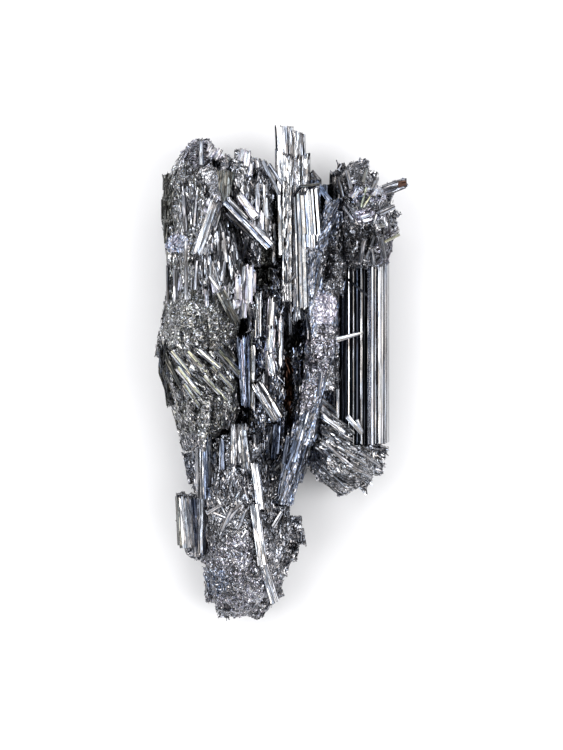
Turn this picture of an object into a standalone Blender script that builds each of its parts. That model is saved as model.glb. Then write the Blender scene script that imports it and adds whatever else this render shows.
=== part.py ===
"""Stibnite crystal spray: a hand-sized cluster of striated prisms, lying on its broad side.

Each growth that stands apart from its neighbours is one named, closed solid: single prisms, and bundles
whose laths have grown into one another. Sizes are millimetres on the specimen, and MM turns them into
metres. The origin is the middle of the underside, +Y runs up the tall spear, and +Z points away from the
surface that the cluster lies on.
"""

import random
from dataclasses import dataclass
from math import copysign, cos, pi, radians, sin, sqrt, tau

import bmesh
import bpy
from mathutils import Matrix, Vector

MM = 0.001
GAP = 0.3  # clearance between two growths that press against each other
LENGTH = 109.6  # whole cluster along Y
WIDTH = 54.8  # whole cluster along X
TOP = LENGTH / 2  # tip of the spear
EDGE = WIDTH / 2  # left and right edges
GOLDEN_TURN = pi * (3 - sqrt(5))  # spreads laths evenly round a core

PRISM_WIDTH = 11.2  # the big prism on the right
PRISM_DEPTH = 14.0
PRISM_FOOT = -15.6
SPEAR_WIDTH = 5.2
BLADE_DEPTH = 15.0

# name: (red, green, blue, roughness)
FINISHES = {
    "bright": (0.62, 0.63, 0.66, 0.22),
    "lead": (0.42, 0.43, 0.46, 0.30),
    "blued": (0.34, 0.38, 0.47, 0.24),
    "olive": (0.36, 0.36, 0.34, 0.36),
}


def squared(value, power):
    """Pull a cosine or sine towards the corners of a box (power < 1) or of a diamond (power > 1)."""
    return copysign(abs(value) ** power, value)


@dataclass(frozen=True)
class Crystal:
    """A striated prism from its foot to its tip, broken off unevenly or drawn to a point."""

    foot: tuple
    tip: tuple
    width: float
    depth: float
    turn: float = 0.0  # degrees about its own length; 0 keeps the width level
    ridges: int = 4  # lengthwise ridges round the prism
    groove: float = 0.14  # depth of the grooves between them, as a share of the radius
    power: float = 0.8  # below 1 boxy, above 1 lozenge-shaped
    taper: float = 0.9  # size at the tip over size at the foot
    slope: float = 0.0  # how far the broken face slants across the width
    ragged: float = 0.6  # unevenness of the broken face
    point: float = 0.0  # length of a pyramid beyond the tip

    def shell(self, grow=0.0):
        """Corners and faces of the closed prism, with every side moved out by grow."""
        rng = random.Random(repr((self.foot, self.tip)))
        foot, tip = Vector(self.foot), Vector(self.tip)
        along = (tip - foot).normalized()
        across = along.cross(Vector((0, 0, 1))).normalized()
        spin = Matrix.Rotation(radians(self.turn), 3, along)
        across, up = spin @ across, spin @ across.cross(along)
        sides = 2 * self.ridges
        corners = []
        for middle, size, end in ((foot - along * grow, 1.0, 0), (tip + along * grow, self.taper, 1)):
            for k in range(sides):
                radius = 1 - self.groove * (k % 2)
                x = squared(cos(tau * k / sides), self.power) * radius
                z = squared(sin(tau * k / sides), self.power) * radius
                step = end * (self.slope * x + rng.uniform(-self.ragged, self.ragged))
                half_width = self.width / 2 * size + grow
                half_depth = self.depth / 2 * size + grow
                corners.append(middle + across * x * half_width + up * z * half_depth + along * step)
        faces = [(k, (k + 1) % sides, sides + (k + 1) % sides, sides + k) for k in range(sides)]
        faces += [(0, k + 1, k) for k in range(1, sides - 1)]
        if self.point:
            corners.append(tip + along * (grow + self.point))
            faces += [(2 * sides, sides + k, sides + (k + 1) % sides) for k in range(sides)]
        else:
            faces += [(sides, sides + k, sides + k + 1) for k in range(1, sides - 1)]
        return corners, faces


@dataclass(frozen=True)
class Core:
    """The mass of grown-together laths under a bundle's surface.

    Its rings are (y, x, z, half width, half depth) down Y. Lengthwise ridges run from ring to ring, and
    at every other ring some laths end and others begin, which leaves a ledge.
    """

    rings: tuple
    sides: int = 12
    rough: float = 0.11
    ledge: float = 0.5  # length over which a ridge starts or stops

    def at(self, y):
        """Middle x and z and half width and depth of the core where it passes y."""
        y = min(max(y, self.rings[-1][0]), self.rings[0][0])
        for above, below in zip(self.rings, self.rings[1:]):
            if y >= below[0]:
                share = (above[0] - y) / (above[0] - below[0])
                return tuple(a + (b - a) * share for a, b in zip(above[1:], below[1:]))
        return self.rings[-1][1:]

    def surface(self, y, angle, inset=0.0):
        """Point on the core at height y, angle 0 at +X and a quarter turn at the top."""
        x, z, half_width, half_depth = self.at(y)
        return Vector((x + (half_width - inset) * cos(angle), y, z + (half_depth - inset) * sin(angle)))

    def ring(self, y, ridges, grow):
        """Corners of one ring round the core at y."""
        x, z, half_width, half_depth = self.at(y)
        corners = []
        for k, ridge in enumerate(ridges):
            angle = tau * k / self.sides
            across = (half_width * ridge + grow) * squared(cos(angle), 0.9)
            up = (half_depth * ridge + grow) * squared(sin(angle), 0.9)
            corners.append(Vector((x + across, y, z + up)))
        return corners

    def shell(self, grow=0.0):
        """Corners and faces of the closed mass, with every side moved out by grow."""
        rng = random.Random(repr(self.rings))

        def fresh():
            return 1 + rng.choice((-1, 1)) * self.rough * rng.uniform(0.3, 1)

        top, bottom = self.rings[0][0], self.rings[-1][0]
        ridges = [fresh() for _ in range(self.sides)]
        rows = [(top, ridges)]
        for i, (y, *_) in enumerate(self.rings[1:-1]):
            rows.append((y + self.ledge / 2, ridges))
            if i % 2:
                ridges = [fresh() if rng.random() < 0.7 else ridge for ridge in ridges]
                rows.append((y - self.ledge / 2, ridges))
        rows.append((bottom, ridges))
        corners = []
        for i, (y, ridges) in enumerate(rows):
            ring = self.ring(y, ridges, grow)
            outward = grow * ((i == 0) - (i == len(rows) - 1))
            corners += [corner + Vector((0, outward, 0)) for corner in ring]
        faces = []
        for i in range(len(rows) - 1):
            near, far = i * self.sides, (i + 1) * self.sides
            for k in range(self.sides):
                after = (k + 1) % self.sides
                faces += [(near + k, near + after, far + k), (near + after, far + after, far + k)]
        last = (len(rows) - 1) * self.sides
        for y, first, flip in ((top + grow, 0, False), (bottom - grow, last, True)):
            x, z, *_ = self.at(y)
            corners.append(Vector((x, y, z)))
            for k in range(self.sides):
                pair = (first + k, first + (k + 1) % self.sides)
                faces.append((len(corners) - 1, *(pair if flip else pair[::-1])))
        return corners, faces


def sheaf(core, seed, count, length, width, arc=(-60, 240), lean=0.0, spread=8.0, lift=2.0, stop=0.96):
    """Laths laid over an arc of a core, leaning by degrees from its length and lifting at their tips.

    The arc is in degrees from +X over the top.
    """
    rng = random.Random(seed)
    top, bottom = core.rings[0][0], core.rings[-1][0]
    laths = []
    for i in range(count):
        share = (i * GOLDEN_TURN / tau + rng.uniform(-0.05, 0.05)) % 1
        angle = radians(arc[0] + (arc[1] - arc[0]) * share)
        wide = width * rng.uniform(0.7, 1.3)
        long = length * rng.uniform(0.7, 1.25)
        y = top + (bottom - top) * stop * (i + 0.5) / count
        y = min(max(y, bottom + long / 2), top - long / 2)
        middle = core.surface(y, angle, 0.1 * wide)
        outward = Vector((cos(angle), 0, sin(angle)))
        along = (core.surface(y + 1, angle) - core.surface(y - 1, angle)).normalized()
        turned = Matrix.Rotation(radians(lean + rng.uniform(-spread, spread)), 3, outward) @ along
        rise = outward * sin(radians(lift + rng.uniform(-2, 2)))
        half = (turned + rise).normalized() * long / 2
        laths.append(
            Crystal(
                tuple(middle - half),
                tuple(middle + half),
                wide,
                wide * rng.uniform(0.7, 1.1),
                turn=rng.uniform(0, 90),
                ridges=2,
                groove=0,
                slope=rng.uniform(-0.8, 0.8),
            )
        )
    return laths


def lying(core, start, end, width, depth, rise=0.3, **shape):
    """A lath laid over the top of a core, from one plan point (x, y) to another."""

    def height(x, y):
        middle, z, half_width, half_depth = core.at(y)
        off = min(abs(x - middle) / half_width, 0.98)
        return z + half_depth * sqrt(1 - off * off) + rise - depth * 0.3

    ends = [(x, y, height(x, y)) for x, y in (start, end)]
    return Crystal(ends[0], ends[1], width, depth, **{"ridges": 3, **shape})


# ---- single prisms and small groups -------------------------------------------------------------


def centre_spear():
    """The tall prism that stands clear of the top, with a lower one grown along its right side."""
    return [
        Crystal((2.2, 9, 13), (0.4, TOP - 0.7, 17), SPEAR_WIDTH, 7.5, turn=12, ridges=5, slope=-0.6),
        Crystal((5.4, 16, 13), (3.7, 52.6, 17), 3.6, 6.4, turn=-18, slope=-0.4),
        Crystal((4.9, 20, 15), (4.9, 46.2, 18.6), 2.6, 4.0, turn=20, ridges=3, slope=-0.8),
        Crystal((3.0, 14, 8), (2.2, 49.5, 13), 5.0, 6.0, turn=35, slope=0.9),
        Crystal((-0.6, 26, 17), (-1.0, 48.6, 19.2), 1.4, 2.0, ridges=3),
    ]


def front_prism():
    """The broken prism before the spear, with dark crystals standing beside its top."""
    return [
        Crystal((6.0, 13.5, 18), (5.2, 39.6, 21.4), 6.4, 6.6, turn=8, ridges=6, groove=0.1, slope=0.7),
        Crystal((6.8, 29, 16), (6.7, 42.4, 17.6), 3.4, 4.4, turn=45, ridges=3, point=2.2, ragged=0.1),
        Crystal((9.8, 22, 14), (9.5, 41.0, 17), 3.0, 4.2, turn=30, ridges=3, slope=0.8),
        Crystal((7.2, 41.6, 18.6), (10.4, 37.2, 20.6), 1.6, 1.8, turn=20, ridges=3),
        Crystal((11.0, 24, 13), (11.6, 43.6, 14), 2.4, 4.0, turn=15, ridges=3, slope=-0.7),
        Crystal((12.2, 26, 11), (12.9, 41.2, 12), 2.8, 6.0, turn=-10, ridges=3, slope=0.6),
    ]


def diagonal_blade():
    """The long blade that comes down from the crown across the middle, standing on a deep root."""
    return [
        Crystal((7.6, 23.5, 21), (11.2, 37.6, 21.5), 4.6, 6, turn=-14, slope=0.8),
        Crystal((11.4, 17.0, 19.6), (12.9, 35.4, 20.6), 4.4, 6.6, turn=-8),
        Crystal((8.0, 4, 19), (6.8, 27.5, 22.0), 5.2, 8, turn=10, ridges=5),
        Crystal((9.7, -3.6, 18.8), (9.9, 20.6, 22.0), 5.6, 6.6, turn=-6),
        Crystal((4.4, -15, 18), (8.0, 1.5, 21), 6.2, 8, turn=14, ridges=5, taper=0.8),
        Crystal((0.2, -28.6, 18), (4.4, -11, 19.6), 4.4, 7, turn=-10, taper=1.0),
        Crystal((6.4, -7, 12), (8.2, 24, 13), 6.0, BLADE_DEPTH, turn=4, ridges=5),
        Crystal((2.2, -24, 12), (6.8, -2, 12), 5.0, 12, turn=0),
        Crystal((9.6, -9, 9), (9.9, 27, 10), 5.4, 12, turn=5, ridges=3),
        Crystal((9.0, 7.0, 20.8), (16.6, 8.8, 22.2), 0.9, 0.9, ridges=3, taper=0.5, ragged=0.1),
    ]


def blue_prism():
    """The short bluish prism on the inner edge of the left bundle, stepped at its top."""
    return [
        Crystal((-7.7, -6.2, 18), (-8.2, 8.4, 21), 3.6, 7, turn=10, slope=0.5),
        Crystal((-6.9, -7.2, 17), (-6.9, 6.6, 20), 1.6, 6, turn=-8, ridges=3),
    ]


def cross_lath():
    """The lath that lies slantwise over the upper middle, with a thinner one along its lower side."""
    return [
        Crystal((-2.9, 27.6, 23.6), (-12.2, 37.2, 26.4), 2.2, 2.4, turn=10, groove=0.2),
        Crystal((-6.6, 29.6, 23.4), (-11.9, 34.6, 25.0), 1.6, 2.2, turn=-20, ridges=3),
    ]


def lower_lath():
    """The thin lath that lies down the trunk, broken into two lengths."""
    return [
        Crystal((-4.7, -29.6, 23.4), (-6.1, -19.6, 22.6), 2.0, 2.8, turn=8, groove=0.2),
        Crystal((-4.4, -41.6, 22.8), (-6.2, -28.2, 24.2), 2.3, 2.6, turn=-6, groove=0.2),
        Crystal((-1.9, -49.8, 17.6), (-4.6, -40.2, 22.8), 2.0, 2.4, turn=8, groove=0.2),
    ]


def right_prism():
    """The big prism: a wide dark flat on its left, a ridge, and finely ribbed flats on its right."""
    middle, top = 17.8, 33.0
    laths = [
        Crystal(
            (middle, PRISM_FOOT, 14), (middle, top, 14), PRISM_WIDTH, PRISM_DEPTH, groove=0.03, power=1.25,
            taper=1.0, slope=-0.8, ragged=0.4,
        ),
        Crystal((12.6, -14.6, 13.4), (12.4, 4.0, 13.4), 1.6, 5.6, turn=6, ridges=3),
    ]
    # x, z, width, depth, turn and how far short of the prism's foot each rib stops
    for x, z, width, depth, turn, short in (
        (14.9, 16.2, 1.4, 3.2, 40, 1.2),
        (18.9, 18.6, 1.6, 5.6, 0, 0.6),
        (21.0, 16.6, 2.0, 4.6, -12, 0.9),
        (22.4, 13.4, 1.9, 5.4, 0, 1.4),
    ):
        foot, tip = (x, PRISM_FOOT + short, z), (x, top - 2 * short - 1, z)
        laths.append(Crystal(foot, tip, width, depth, turn=turn, taper=1.0, ridges=3))
    return laths


# ---- bundles and crusts -------------------------------------------------------------------------

LEFT = Core(
    (
        (51.6, -17.9, 12.5, 1.8, 3.0),
        (50.0, -18.1, 12.5, 3.0, 4.6),
        (46.5, -18.2, 12.5, 5.2, 7.5),
        (41.0, -18.9, 13.0, 6.9, 11.0),
        (35.0, -18.4, 13.8, 7.4, 13.4),
        (28.0, -17.0, 14.2, 8.0, 14.8),
        (18.0, -16.2, 14.4, 8.2, 15.4),
        (8.0, -17.9, 14.4, 8.6, 15.4),
        (0.0, -18.2, 14.0, 8.2, 14.8),
        (-7.0, -16.7, 13.6, 7.2, 13.8),
        (-12.6, -16.9, 14.2, 5.7, 10.8),
        (-17.0, -20.0, 12.6, 1.9, 5.0),
    )
)
UPPER = Core(
    (
        (47.2, -8.6, 12.0, 3.8, 5.0),
        (42.0, -7.4, 12.6, 5.4, 9.8),
        (34.0, -5.4, 12.8, 4.5, 11.0),
        (27.0, -4.4, 12.4, 4.4, 10.4),
        (23.4, -4.0, 11.0, 3.2, 7.0),
    )
)
CENTRE = Core(
    (
        (25.6, -2.6, 8.6, 6.4, 6.0),
        (18.4, -2.6, 8.8, 8.0, 6.8),
        (16.0, -2.6, 9.8, 8.2, 8.8),
        (-6.0, -3.0, 9.8, 8.0, 9.0),
        (-18.0, -4.6, 9.8, 6.0, 8.6),
        (-22.0, -5.0, 9.4, 3.0, 5.0),
    )
)
TRUNK = Core(
    (
        (-11.4, -10.2, 11.0, 7.4, 8.4),
        (-18.0, -11.2, 11.4, 9.9, 10.8),
        (-25.0, -9.5, 11.8, 10.1, 11.6),
        (-34.0, -7.4, 12.0, 10.2, 12.6),
        (-42.0, -8.5, 11.6, 8.9, 12.0),
        (-48.0, -8.7, 10.6, 7.8, 10.6),
        (-52.0, -9.8, 9.2, 5.4, 8.2),
        (-54.0, -9.8, 8.4, 3.2, 4.6),
    )
)
CROWN = Core(
    (
        (46.4, 16.6, 12.0, 1.8, 4.4),
        (43.0, 16.0, 12.6, 3.8, 8.6),
        (38.0, 17.7, 13.0, 5.6, 12.4),
        (32.0, 18.0, 13.4, 6.2, 14.2),
        (26.0, 18.2, 13.2, 5.5, 14.0),
        (20.0, 18.4, 7.6, 4.2, 8.4),
        (14.0, 18.4, 5.0, 3.0, 4.6),
    )
)
STUB = Core(
    (
        (-27.4, -21.2, 10.0, 1.6, 3.2),
        (-28.6, -21.0, 9.8, 2.5, 4.8),
        (-33.0, -20.8, 9.4, 2.9, 5.4),
        (-38.0, -20.2, 8.8, 2.6, 4.8),
        (-40.6, -19.4, 8.4, 1.9, 3.6),
        (-41.6, -18.6, 8.2, 1.0, 2.0),
    ),
    sides=8,
)
FOOT = Core(
    (
        (-6.6, 9.4, 11.4, 1.8, 5.0),
        (-11.0, 10.6, 11.0, 4.0, 9.0),
        (-17.0, 13.8, 10.6, 7.6, 11.2),
        (-22.0, 14.0, 10.2, 7.2, 10.6),
        (-25.4, 13.8, 9.4, 3.2, 6.6),
        (-26.8, 13.6, 9.0, 1.4, 3.0),
    )
)


def foot_stub():
    """The short stub at the trunk's left side, rounded off below, with two straight prisms in it."""
    prisms = [
        Crystal((-19.4, -40.2, 10), (-19.2, -27.4, 12), 2.6, 6, turn=-15, ridges=3),
        Crystal((-21.8, -37.6, 8), (-22.3, -26.9, 10), 2.2, 6, turn=20, ridges=3),
    ]
    return [STUB, *prisms]


def left_bundle():
    """The broad bundle on the left: a knob at the top, long laths, and slanting ones lower down."""
    streaks = [
        lying(LEFT, (-18.0, 44.8), (-18.0, 51.0), 1.4, 1.6),
        lying(LEFT, (-21.6, 31.0), (-21.8, 42.0), 2.0, 2.0),
        lying(LEFT, (-19.4, 31.6), (-19.8, 42.4), 1.8, 2.0),
        lying(LEFT, (-18.4, 29.0), (-15.4, 39.4), 2.4, 2.0),
        lying(LEFT, (-21.2, 15.8), (-21.2, 29.0), 1.5, 1.8, rise=0.6),
        lying(LEFT, (-16.6, 16.0), (-17.4, 31.6), 2.2, 2.2),
        lying(LEFT, (-13.8, 16.6), (-14.4, 31.0), 2.2, 2.2, rise=0.6),
        lying(LEFT, (-10.9, 17.0), (-11.4, 29.2), 2.0, 2.4),
        lying(LEFT, (-20.2, 3.6), (-20.8, 14.6), 2.8, 2.4),
        lying(LEFT, (-14.0, 4.2), (-14.6, 12.8), 2.6, 2.4, slope=0.8),
        lying(LEFT, (-11.4, -7.6), (-11.8, 3.0), 2.4, 2.4, slope=-0.8),
        lying(LEFT, (-19.2, -14.0), (-19.4, -5.2), 2.6, 2.4),
        lying(LEFT, (-14.4, -12.2), (-14.0, -5.4), 2.8, 2.6, slope=0.7),
    ]
    shoulder = Crystal((-13.8, 38, 15), (-13.1, 48.0, 16), 5.0, 7.4, turn=10, ridges=3, slope=-0.6)
    wedge = Crystal((-16.6, 44.6, 21.0), (-14.0, 36.0, 26.4), 6.6, 3.4, turn=16, ridges=3, taper=0.3)
    blades = [
        lying(LEFT, (-10.2, 22.6), (-9.4, 15.4), 1.7, 2.0, rise=0.8, point=1.0, ragged=0.1),
        lying(LEFT, (-13.8, 18.4), (-10.6, 11.0), 2.4, 2.2, rise=0.5),
        lying(LEFT, (-24.9, 29.6), (-21.2, 27.2), 3.0, 2.4, rise=0.6),
    ]
    feathers = [
        lying(LEFT, (x, y), (x + long * 0.70, y - long * 0.72), 1.9, 1.8, rise=0.6)
        for x, y, long in (
            (-20.4, 4.4, 5.6),
            (-18.0, 5.2, 5.6),
            (-13.8, 5.0, 7.0),
            (-23.6, 2.0, 6.4),
            (-21.4, -1.6, 6.4),
            (-14.8, -2.6, 7.4),
        )
    ]
    rim = [
        Crystal((-24.4, 27.0, 15), (-25.6, 38.4, 14), 2.6, 9, turn=8),
        Crystal((-23.8, 14.6, 14), (-24.4, 27.4, 14), 2.8, 10, turn=-6),
        Crystal((-25.6, 3.4, 14), (-24.6, 16.6, 14), 3.4, 10, turn=5),
        Crystal((-23.9, -7.2, 14), (-25.7, 5.0, 14), 2.8, 9, turn=-8),
        Crystal((-20.6, -17.0, 13), (-23.8, -5.0, 13), 2.8, 8, turn=8),
    ]
    laths = sheaf(LEFT, 3, 12, 12, 3.4, arc=(60, 235))
    return [LEFT, shoulder, wedge, *streaks, *blades, *feathers, *rim, *laths]


def upper_columns():
    """Broken columns between the left bundle and the spear, ending in loose blades at the top."""
    blades = [
        Crystal((-1.2, 37.4, 17), (-4.2, 46.4, 19), 1.5, 2.4, turn=15, ridges=3, ragged=0.3),
        Crystal((-0.9, 40.2, 14), (-2.8, 45.8, 15.4), 1.3, 2.2, turn=-15, ridges=3, ragged=0.3),
        Crystal((-9.6, 40, 12), (-9.2, 49.0, 14), 3.2, 4.0, turn=20),
        Crystal((-12.0, 40, 12), (-12.6, 47.8, 13), 2.6, 4.0, turn=-20, ridges=3),
        Crystal((-6.4, 38, 15), (-6.6, 46.9, 17), 2.4, 3.6, turn=25, ridges=3),
    ]
    columns = [
        lying(UPPER, (-3.4, 25.4), (-4.0, 42.0), 2.2, 3.0, rise=0.9),
        lying(UPPER, (-5.7, 24.6), (-5.6, 41.0), 1.8, 2.6, rise=1.1),
        lying(UPPER, (-6.0, 33.0), (-9.8, 38.2), 1.6, 1.8, rise=3.2, ragged=0.2),
        lying(UPPER, (-2.0, 26.4), (-2.0, 35.6), 1.2, 3.0, rise=1.0),
    ]
    return [UPPER, *blades, *columns, *sheaf(UPPER, 5, 5, 9, 2.2, arc=(60, 150))]


def centre_columns():
    """The hollow middle: a low mass with broken columns standing in it, dark gaps left between them."""
    columns = [
        Crystal((-2.6, 1.0, 17.6), (-2.4, 16.4, 19.4), 2.5, 6.0, turn=12),
        Crystal((-0.6, 0.6, 17.0), (-0.5, 12.0, 18.6), 1.5, 6.0, turn=-10, ridges=3),
        Crystal((-5.4, 8.6, 17.4), (-5.3, 18.0, 19.8), 1.4, 5.4, turn=6, ridges=3),
        Crystal((-6.6, 8.4, 17.6), (-6.8, 16.2, 20.4), 1.2, 5.0, ridges=3, turn=20),
        Crystal((-3.9, 14.6, 16.8), (-4.1, 18.6, 19.0), 1.6, 4.0, ridges=3, turn=20),
        Crystal((-3.2, -4.0, 16.6), (-3.3, 5.6, 19.4), 1.4, 5.0, ridges=3),
        Crystal((-1.2, -9.6, 18.4), (-5.8, -2.2, 20.6), 3.2, 4.6, turn=12, ridges=5),
        Crystal((-3.0, -18.0, 15.6), (-2.4, -10.6, 18.6), 3.2, 5.4, turn=-16),
        Crystal((-0.6, -17.0, 15), (-0.2, -9.0, 17.8), 2.0, 5.0, turn=20, ridges=2),
        Crystal((2.0, 8.0, 14), (1.8, 16.0, 17), 2.2, 4.6, turn=25, ridges=3),
        Crystal((-5.6, -21.0, 16), (-5.9, -12.6, 19.4), 2.4, 5.0, turn=15, ridges=3),
    ]
    return [CENTRE, *columns, *sheaf(CENTRE, 7, 2, 8, 2.2, arc=(60, 120))]


def lower_trunk():
    """The long lower mass, with straight columns above and a crust of short crystals below."""
    columns = [
        lying(TRUNK, (-17.3, -26.0), (-17.4, -12.6), 3.2, 3.2, rise=0.8, ridges=5),
        lying(TRUNK, (-17.4, -39.6), (-17.7, -27.2), 2.2, 2.6, rise=0.6),
        lying(TRUNK, (-14.2, -31.0), (-14.4, -18.0), 2.4, 2.4, rise=0.4),
        lying(TRUNK, (-10.4, -18.6), (-10.3, -11.6), 2.3, 3.0, rise=1.4),
        lying(TRUNK, (-8.3, -17.6), (-8.3, -11.4), 1.5, 3.0, rise=1.6),
        lying(TRUNK, (-10.8, -30.4), (-11.4, -18.2), 2.2, 2.2, rise=0.4),
        lying(TRUNK, (-1.0, -36.4), (-2.0, -24.4), 2.4, 2.6, rise=0.6),
        lying(TRUNK, (1.2, -35.6), (0.6, -26.4), 1.8, 2.4, rise=0.6),
        lying(TRUNK, (-2.4, -34.8), (-0.4, -30.6), 1.3, 1.6, rise=1.2),
    ]
    nubs = [
        Crystal((-2.0, -33.6, 14), (4.2, -33.2, 14.4), 4.2, 6.0, turn=20, ragged=0.3),
        Crystal((-2.0, -36.6, 12), (4.9, -36.2, 12), 5.0, 7.0, turn=-15, ragged=0.3),
        Crystal((-2.0, -39.2, 11), (3.3, -39.8, 11), 5.0, 7.0, turn=15, ridges=3, ragged=0.3),
        Crystal((-3.0, -41.8, 11), (1.2, -43.2, 10.6), 4.6, 6.6, turn=10, ridges=3, ragged=0.3),
        Crystal((-2.4, -46, 10), (-1.0, -50.0, 9.4), 3.6, 5.0, turn=20, ridges=3),
        Crystal((-13.4, -48, 8.6), (-13.2, -54.4, 8), 3.4, 5.0, turn=15, ridges=3),
        Crystal((-6.4, -49, 8.6), (-5.6, -54.4, 7.4), 3.2, 5.0, turn=25, ridges=3),
        Crystal((-10.2, -48, 8), (-9.6, -53.6, 7), 3.2, 6.0, turn=-20, ridges=3),
    ]
    return [TRUNK, *columns, *nubs, *sheaf(TRUNK, 11, 12, 9, 3.4, arc=(-55, 235), spread=16)]


def right_crown():
    """The crust over the big prism's top: needles and short prisms pointing up and outwards."""
    prisms = [
        Crystal((20.6, 39.8, 15), (EDGE - 0.6, 41.9, 17), 2.3, 2.8, turn=15, slope=0.3),
        Crystal((13.8, 30, 17), (13.4, 42.4, 17.4), 3.4, 9.0, turn=12),
        Crystal((12.9, 36, 13), (12.0, 44.6, 15), 2.4, 3.6, turn=20, ridges=3),
        Crystal((15.4, 38, 14), (15.2, 45.6, 16), 2.6, 4.0, turn=-20, ridges=3),
        Crystal((17.6, 38, 13), (18.0, 46.8, 15), 2.6, 4.0, turn=25, ridges=3),
        Crystal((19.6, 36, 14), (20.2, 44.0, 16), 2.2, 3.6, turn=-15, ridges=3),
        Crystal((22.0, 35, 13), (24.8, 41.0, 14), 2.2, 3.6, turn=20, ridges=3),
        Crystal((21.6, 31, 14), (25.4, 35.4, 16), 2.2, 3.4, turn=15, ridges=3),
        Crystal((20.4, 28, 15), (25.0, 31.4, 18), 2.0, 3.0, turn=-15, ridges=3),
    ]
    needles = [
        lying(CROWN, (16.9, 35.0), (18.4, 40.6), 0.9, 1.0, rise=0.9, ridges=2, groove=0, ragged=0.2),
        lying(CROWN, (15.4, 33.6), (13.4, 36.8), 1.3, 1.2, rise=0.9, ridges=2, groove=0, ragged=0.2),
        lying(CROWN, (20.4, 33.6), (16.2, 35.2), 1.6, 1.6, rise=0.7, ragged=0.2),
        lying(CROWN, (16.4, 37.8), (15.8, 41.0), 1.7, 1.8, rise=0.7, ragged=0.2),
    ]
    crust = sheaf(CROWN, 13, 9, 7, 2.6, arc=(-70, 200), lean=-8, spread=28, lift=9, stop=0.68)
    return [CROWN, *prisms, *needles, *crust]


def right_foot():
    """The fan under the big prism: long thin laths above and a fibrous crust that runs down to the right."""
    fan = [
        lying(FOOT, (7.6, -5.4), (15.2, -11.4), 1.4, 1.6, rise=2.6, ragged=0.2),
        lying(FOOT, (8.2, -7.7), (15.8, -13.6), 1.4, 1.6, rise=1.8, ragged=0.2),
        lying(FOOT, (8.6, -9.4), (13.8, -13.2), 1.2, 1.4, rise=1.4, ragged=0.2),
    ]
    edges = [
        Crystal((16, -17, 10), (22.9, -17.8, 10), 3.6, 7, turn=15, ridges=3),
        Crystal((15, -20, 9), (22.2, -21.4, 9), 3.6, 6, turn=-15, ridges=3),
        Crystal((14, -20, 10), (19.0, -25.4, 9), 3.4, 6, turn=20, ridges=3),
        Crystal((11, -20, 10), (13.6, -27.4, 9), 3.0, 5, turn=-20, ridges=3),
        Crystal((10, -18, 10), (8.6, -23.6, 9), 3.0, 6, turn=20, ridges=3),
        Crystal((10, -16, 10), (5.4, -20.8, 10), 2.8, 6, turn=15, ridges=3),
    ]
    crust = sheaf(FOOT, 17, 10, 7, 2.6, arc=(-80, 150), lean=35, spread=14, lift=6)
    return [FOOT, *fan, *edges, *crust]


# name: (maker, finish), in the order in which a growth keeps its shape where it meets the later ones
GROWTHS = {
    "cross_lath": (cross_lath, "bright"),
    "lower_lath": (lower_lath, "bright"),
    "blue_prism": (blue_prism, "blued"),
    "centre_spear": (centre_spear, "bright"),
    "right_prism": (right_prism, "blued"),
    "front_prism": (front_prism, "lead"),
    "diagonal_blade": (diagonal_blade, "lead"),
    "foot_stub": (foot_stub, "lead"),
    "upper_columns": (upper_columns, "lead"),
    "centre_columns": (centre_columns, "blued"),
    "right_foot": (right_foot, "lead"),
    "right_crown": (right_crown, "lead"),
    "left_bundle": (left_bundle, "olive"),
    "lower_trunk": (lower_trunk, "lead"),
}


def mesh_object(name, corners, faces):
    """A new object in the scene from corners in millimetres."""
    mesh = bpy.data.meshes.new(name)
    mesh.from_pydata([tuple(corner * MM) for corner in corners], [], faces)
    mesh.update()
    piece = bpy.data.objects.new(name, mesh)
    bpy.context.scene.collection.objects.link(piece)
    return piece


def remove(pieces):
    """Delete objects and their meshes."""
    for piece in pieces:
        mesh = piece.data
        bpy.data.objects.remove(piece)
        bpy.data.meshes.remove(mesh)


def boolean(target, operation, tools):
    """Join the tools to the target, or cut them from it, and keep the result as the target's mesh."""
    group = bpy.data.collections.new("tools")
    for tool in tools:
        group.objects.link(tool)
    modifier = target.modifiers.new(operation, "BOOLEAN")
    modifier.operation = operation
    modifier.operand_type = "COLLECTION"
    modifier.collection = group
    modifier.solver = "EXACT"
    solid = bpy.data.meshes.new_from_object(target.evaluated_get(bpy.context.evaluated_depsgraph_get()))
    target.modifiers.clear()
    old, target.data = target.data, solid
    bpy.data.meshes.remove(old)
    bpy.data.collections.remove(group)
    remove(tools)


def grown(name, pieces, grow=0.0):
    """All crystals of a growth joined into one solid, with every side moved out by grow."""
    parts = [mesh_object(f"{name}_{i}", *piece.shell(grow)) for i, piece in enumerate(pieces)]
    boolean(parts[0], "UNION", parts[1:])
    return parts[0]


def underside(size=200.0, thick=40.0):
    """A slab just under the surface that the cluster lies on."""
    corners = [Vector((x, y, z)) for z in (-thick, 0) for y in (-size, size) for x in (-size, size)]
    faces = [(0, 2, 3, 1), (4, 5, 7, 6), (0, 1, 5, 4), (2, 6, 7, 3), (0, 4, 6, 2), (1, 3, 7, 5)]
    return mesh_object("underside", corners, faces)


def keep_main_body(piece):
    """Drop chips that a cut has parted from the main body."""
    mesh = piece.data
    owner = list(range(len(mesh.vertices)))

    def root(i):
        while owner[i] != i:
            owner[i] = owner[owner[i]]
            i = owner[i]
        return i

    for edge in mesh.edges:
        a, b = (root(i) for i in edge.vertices)
        owner[a] = b
    sizes = {}
    for face in mesh.polygons:
        body = root(face.vertices[0])
        sizes[body] = sizes.get(body, 0.0) + face.area
    main = max(sizes, key=sizes.get)
    faces = [list(face.vertices) for face in mesh.polygons if root(face.vertices[0]) == main]
    used = sorted({i for face in faces for i in face})
    new = {old: i for i, old in enumerate(used)}
    solid = bpy.data.meshes.new(piece.name)
    solid.from_pydata([mesh.vertices[i].co for i in used], [], [[new[i] for i in face] for face in faces])
    piece.data = solid
    bpy.data.meshes.remove(mesh)


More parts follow.
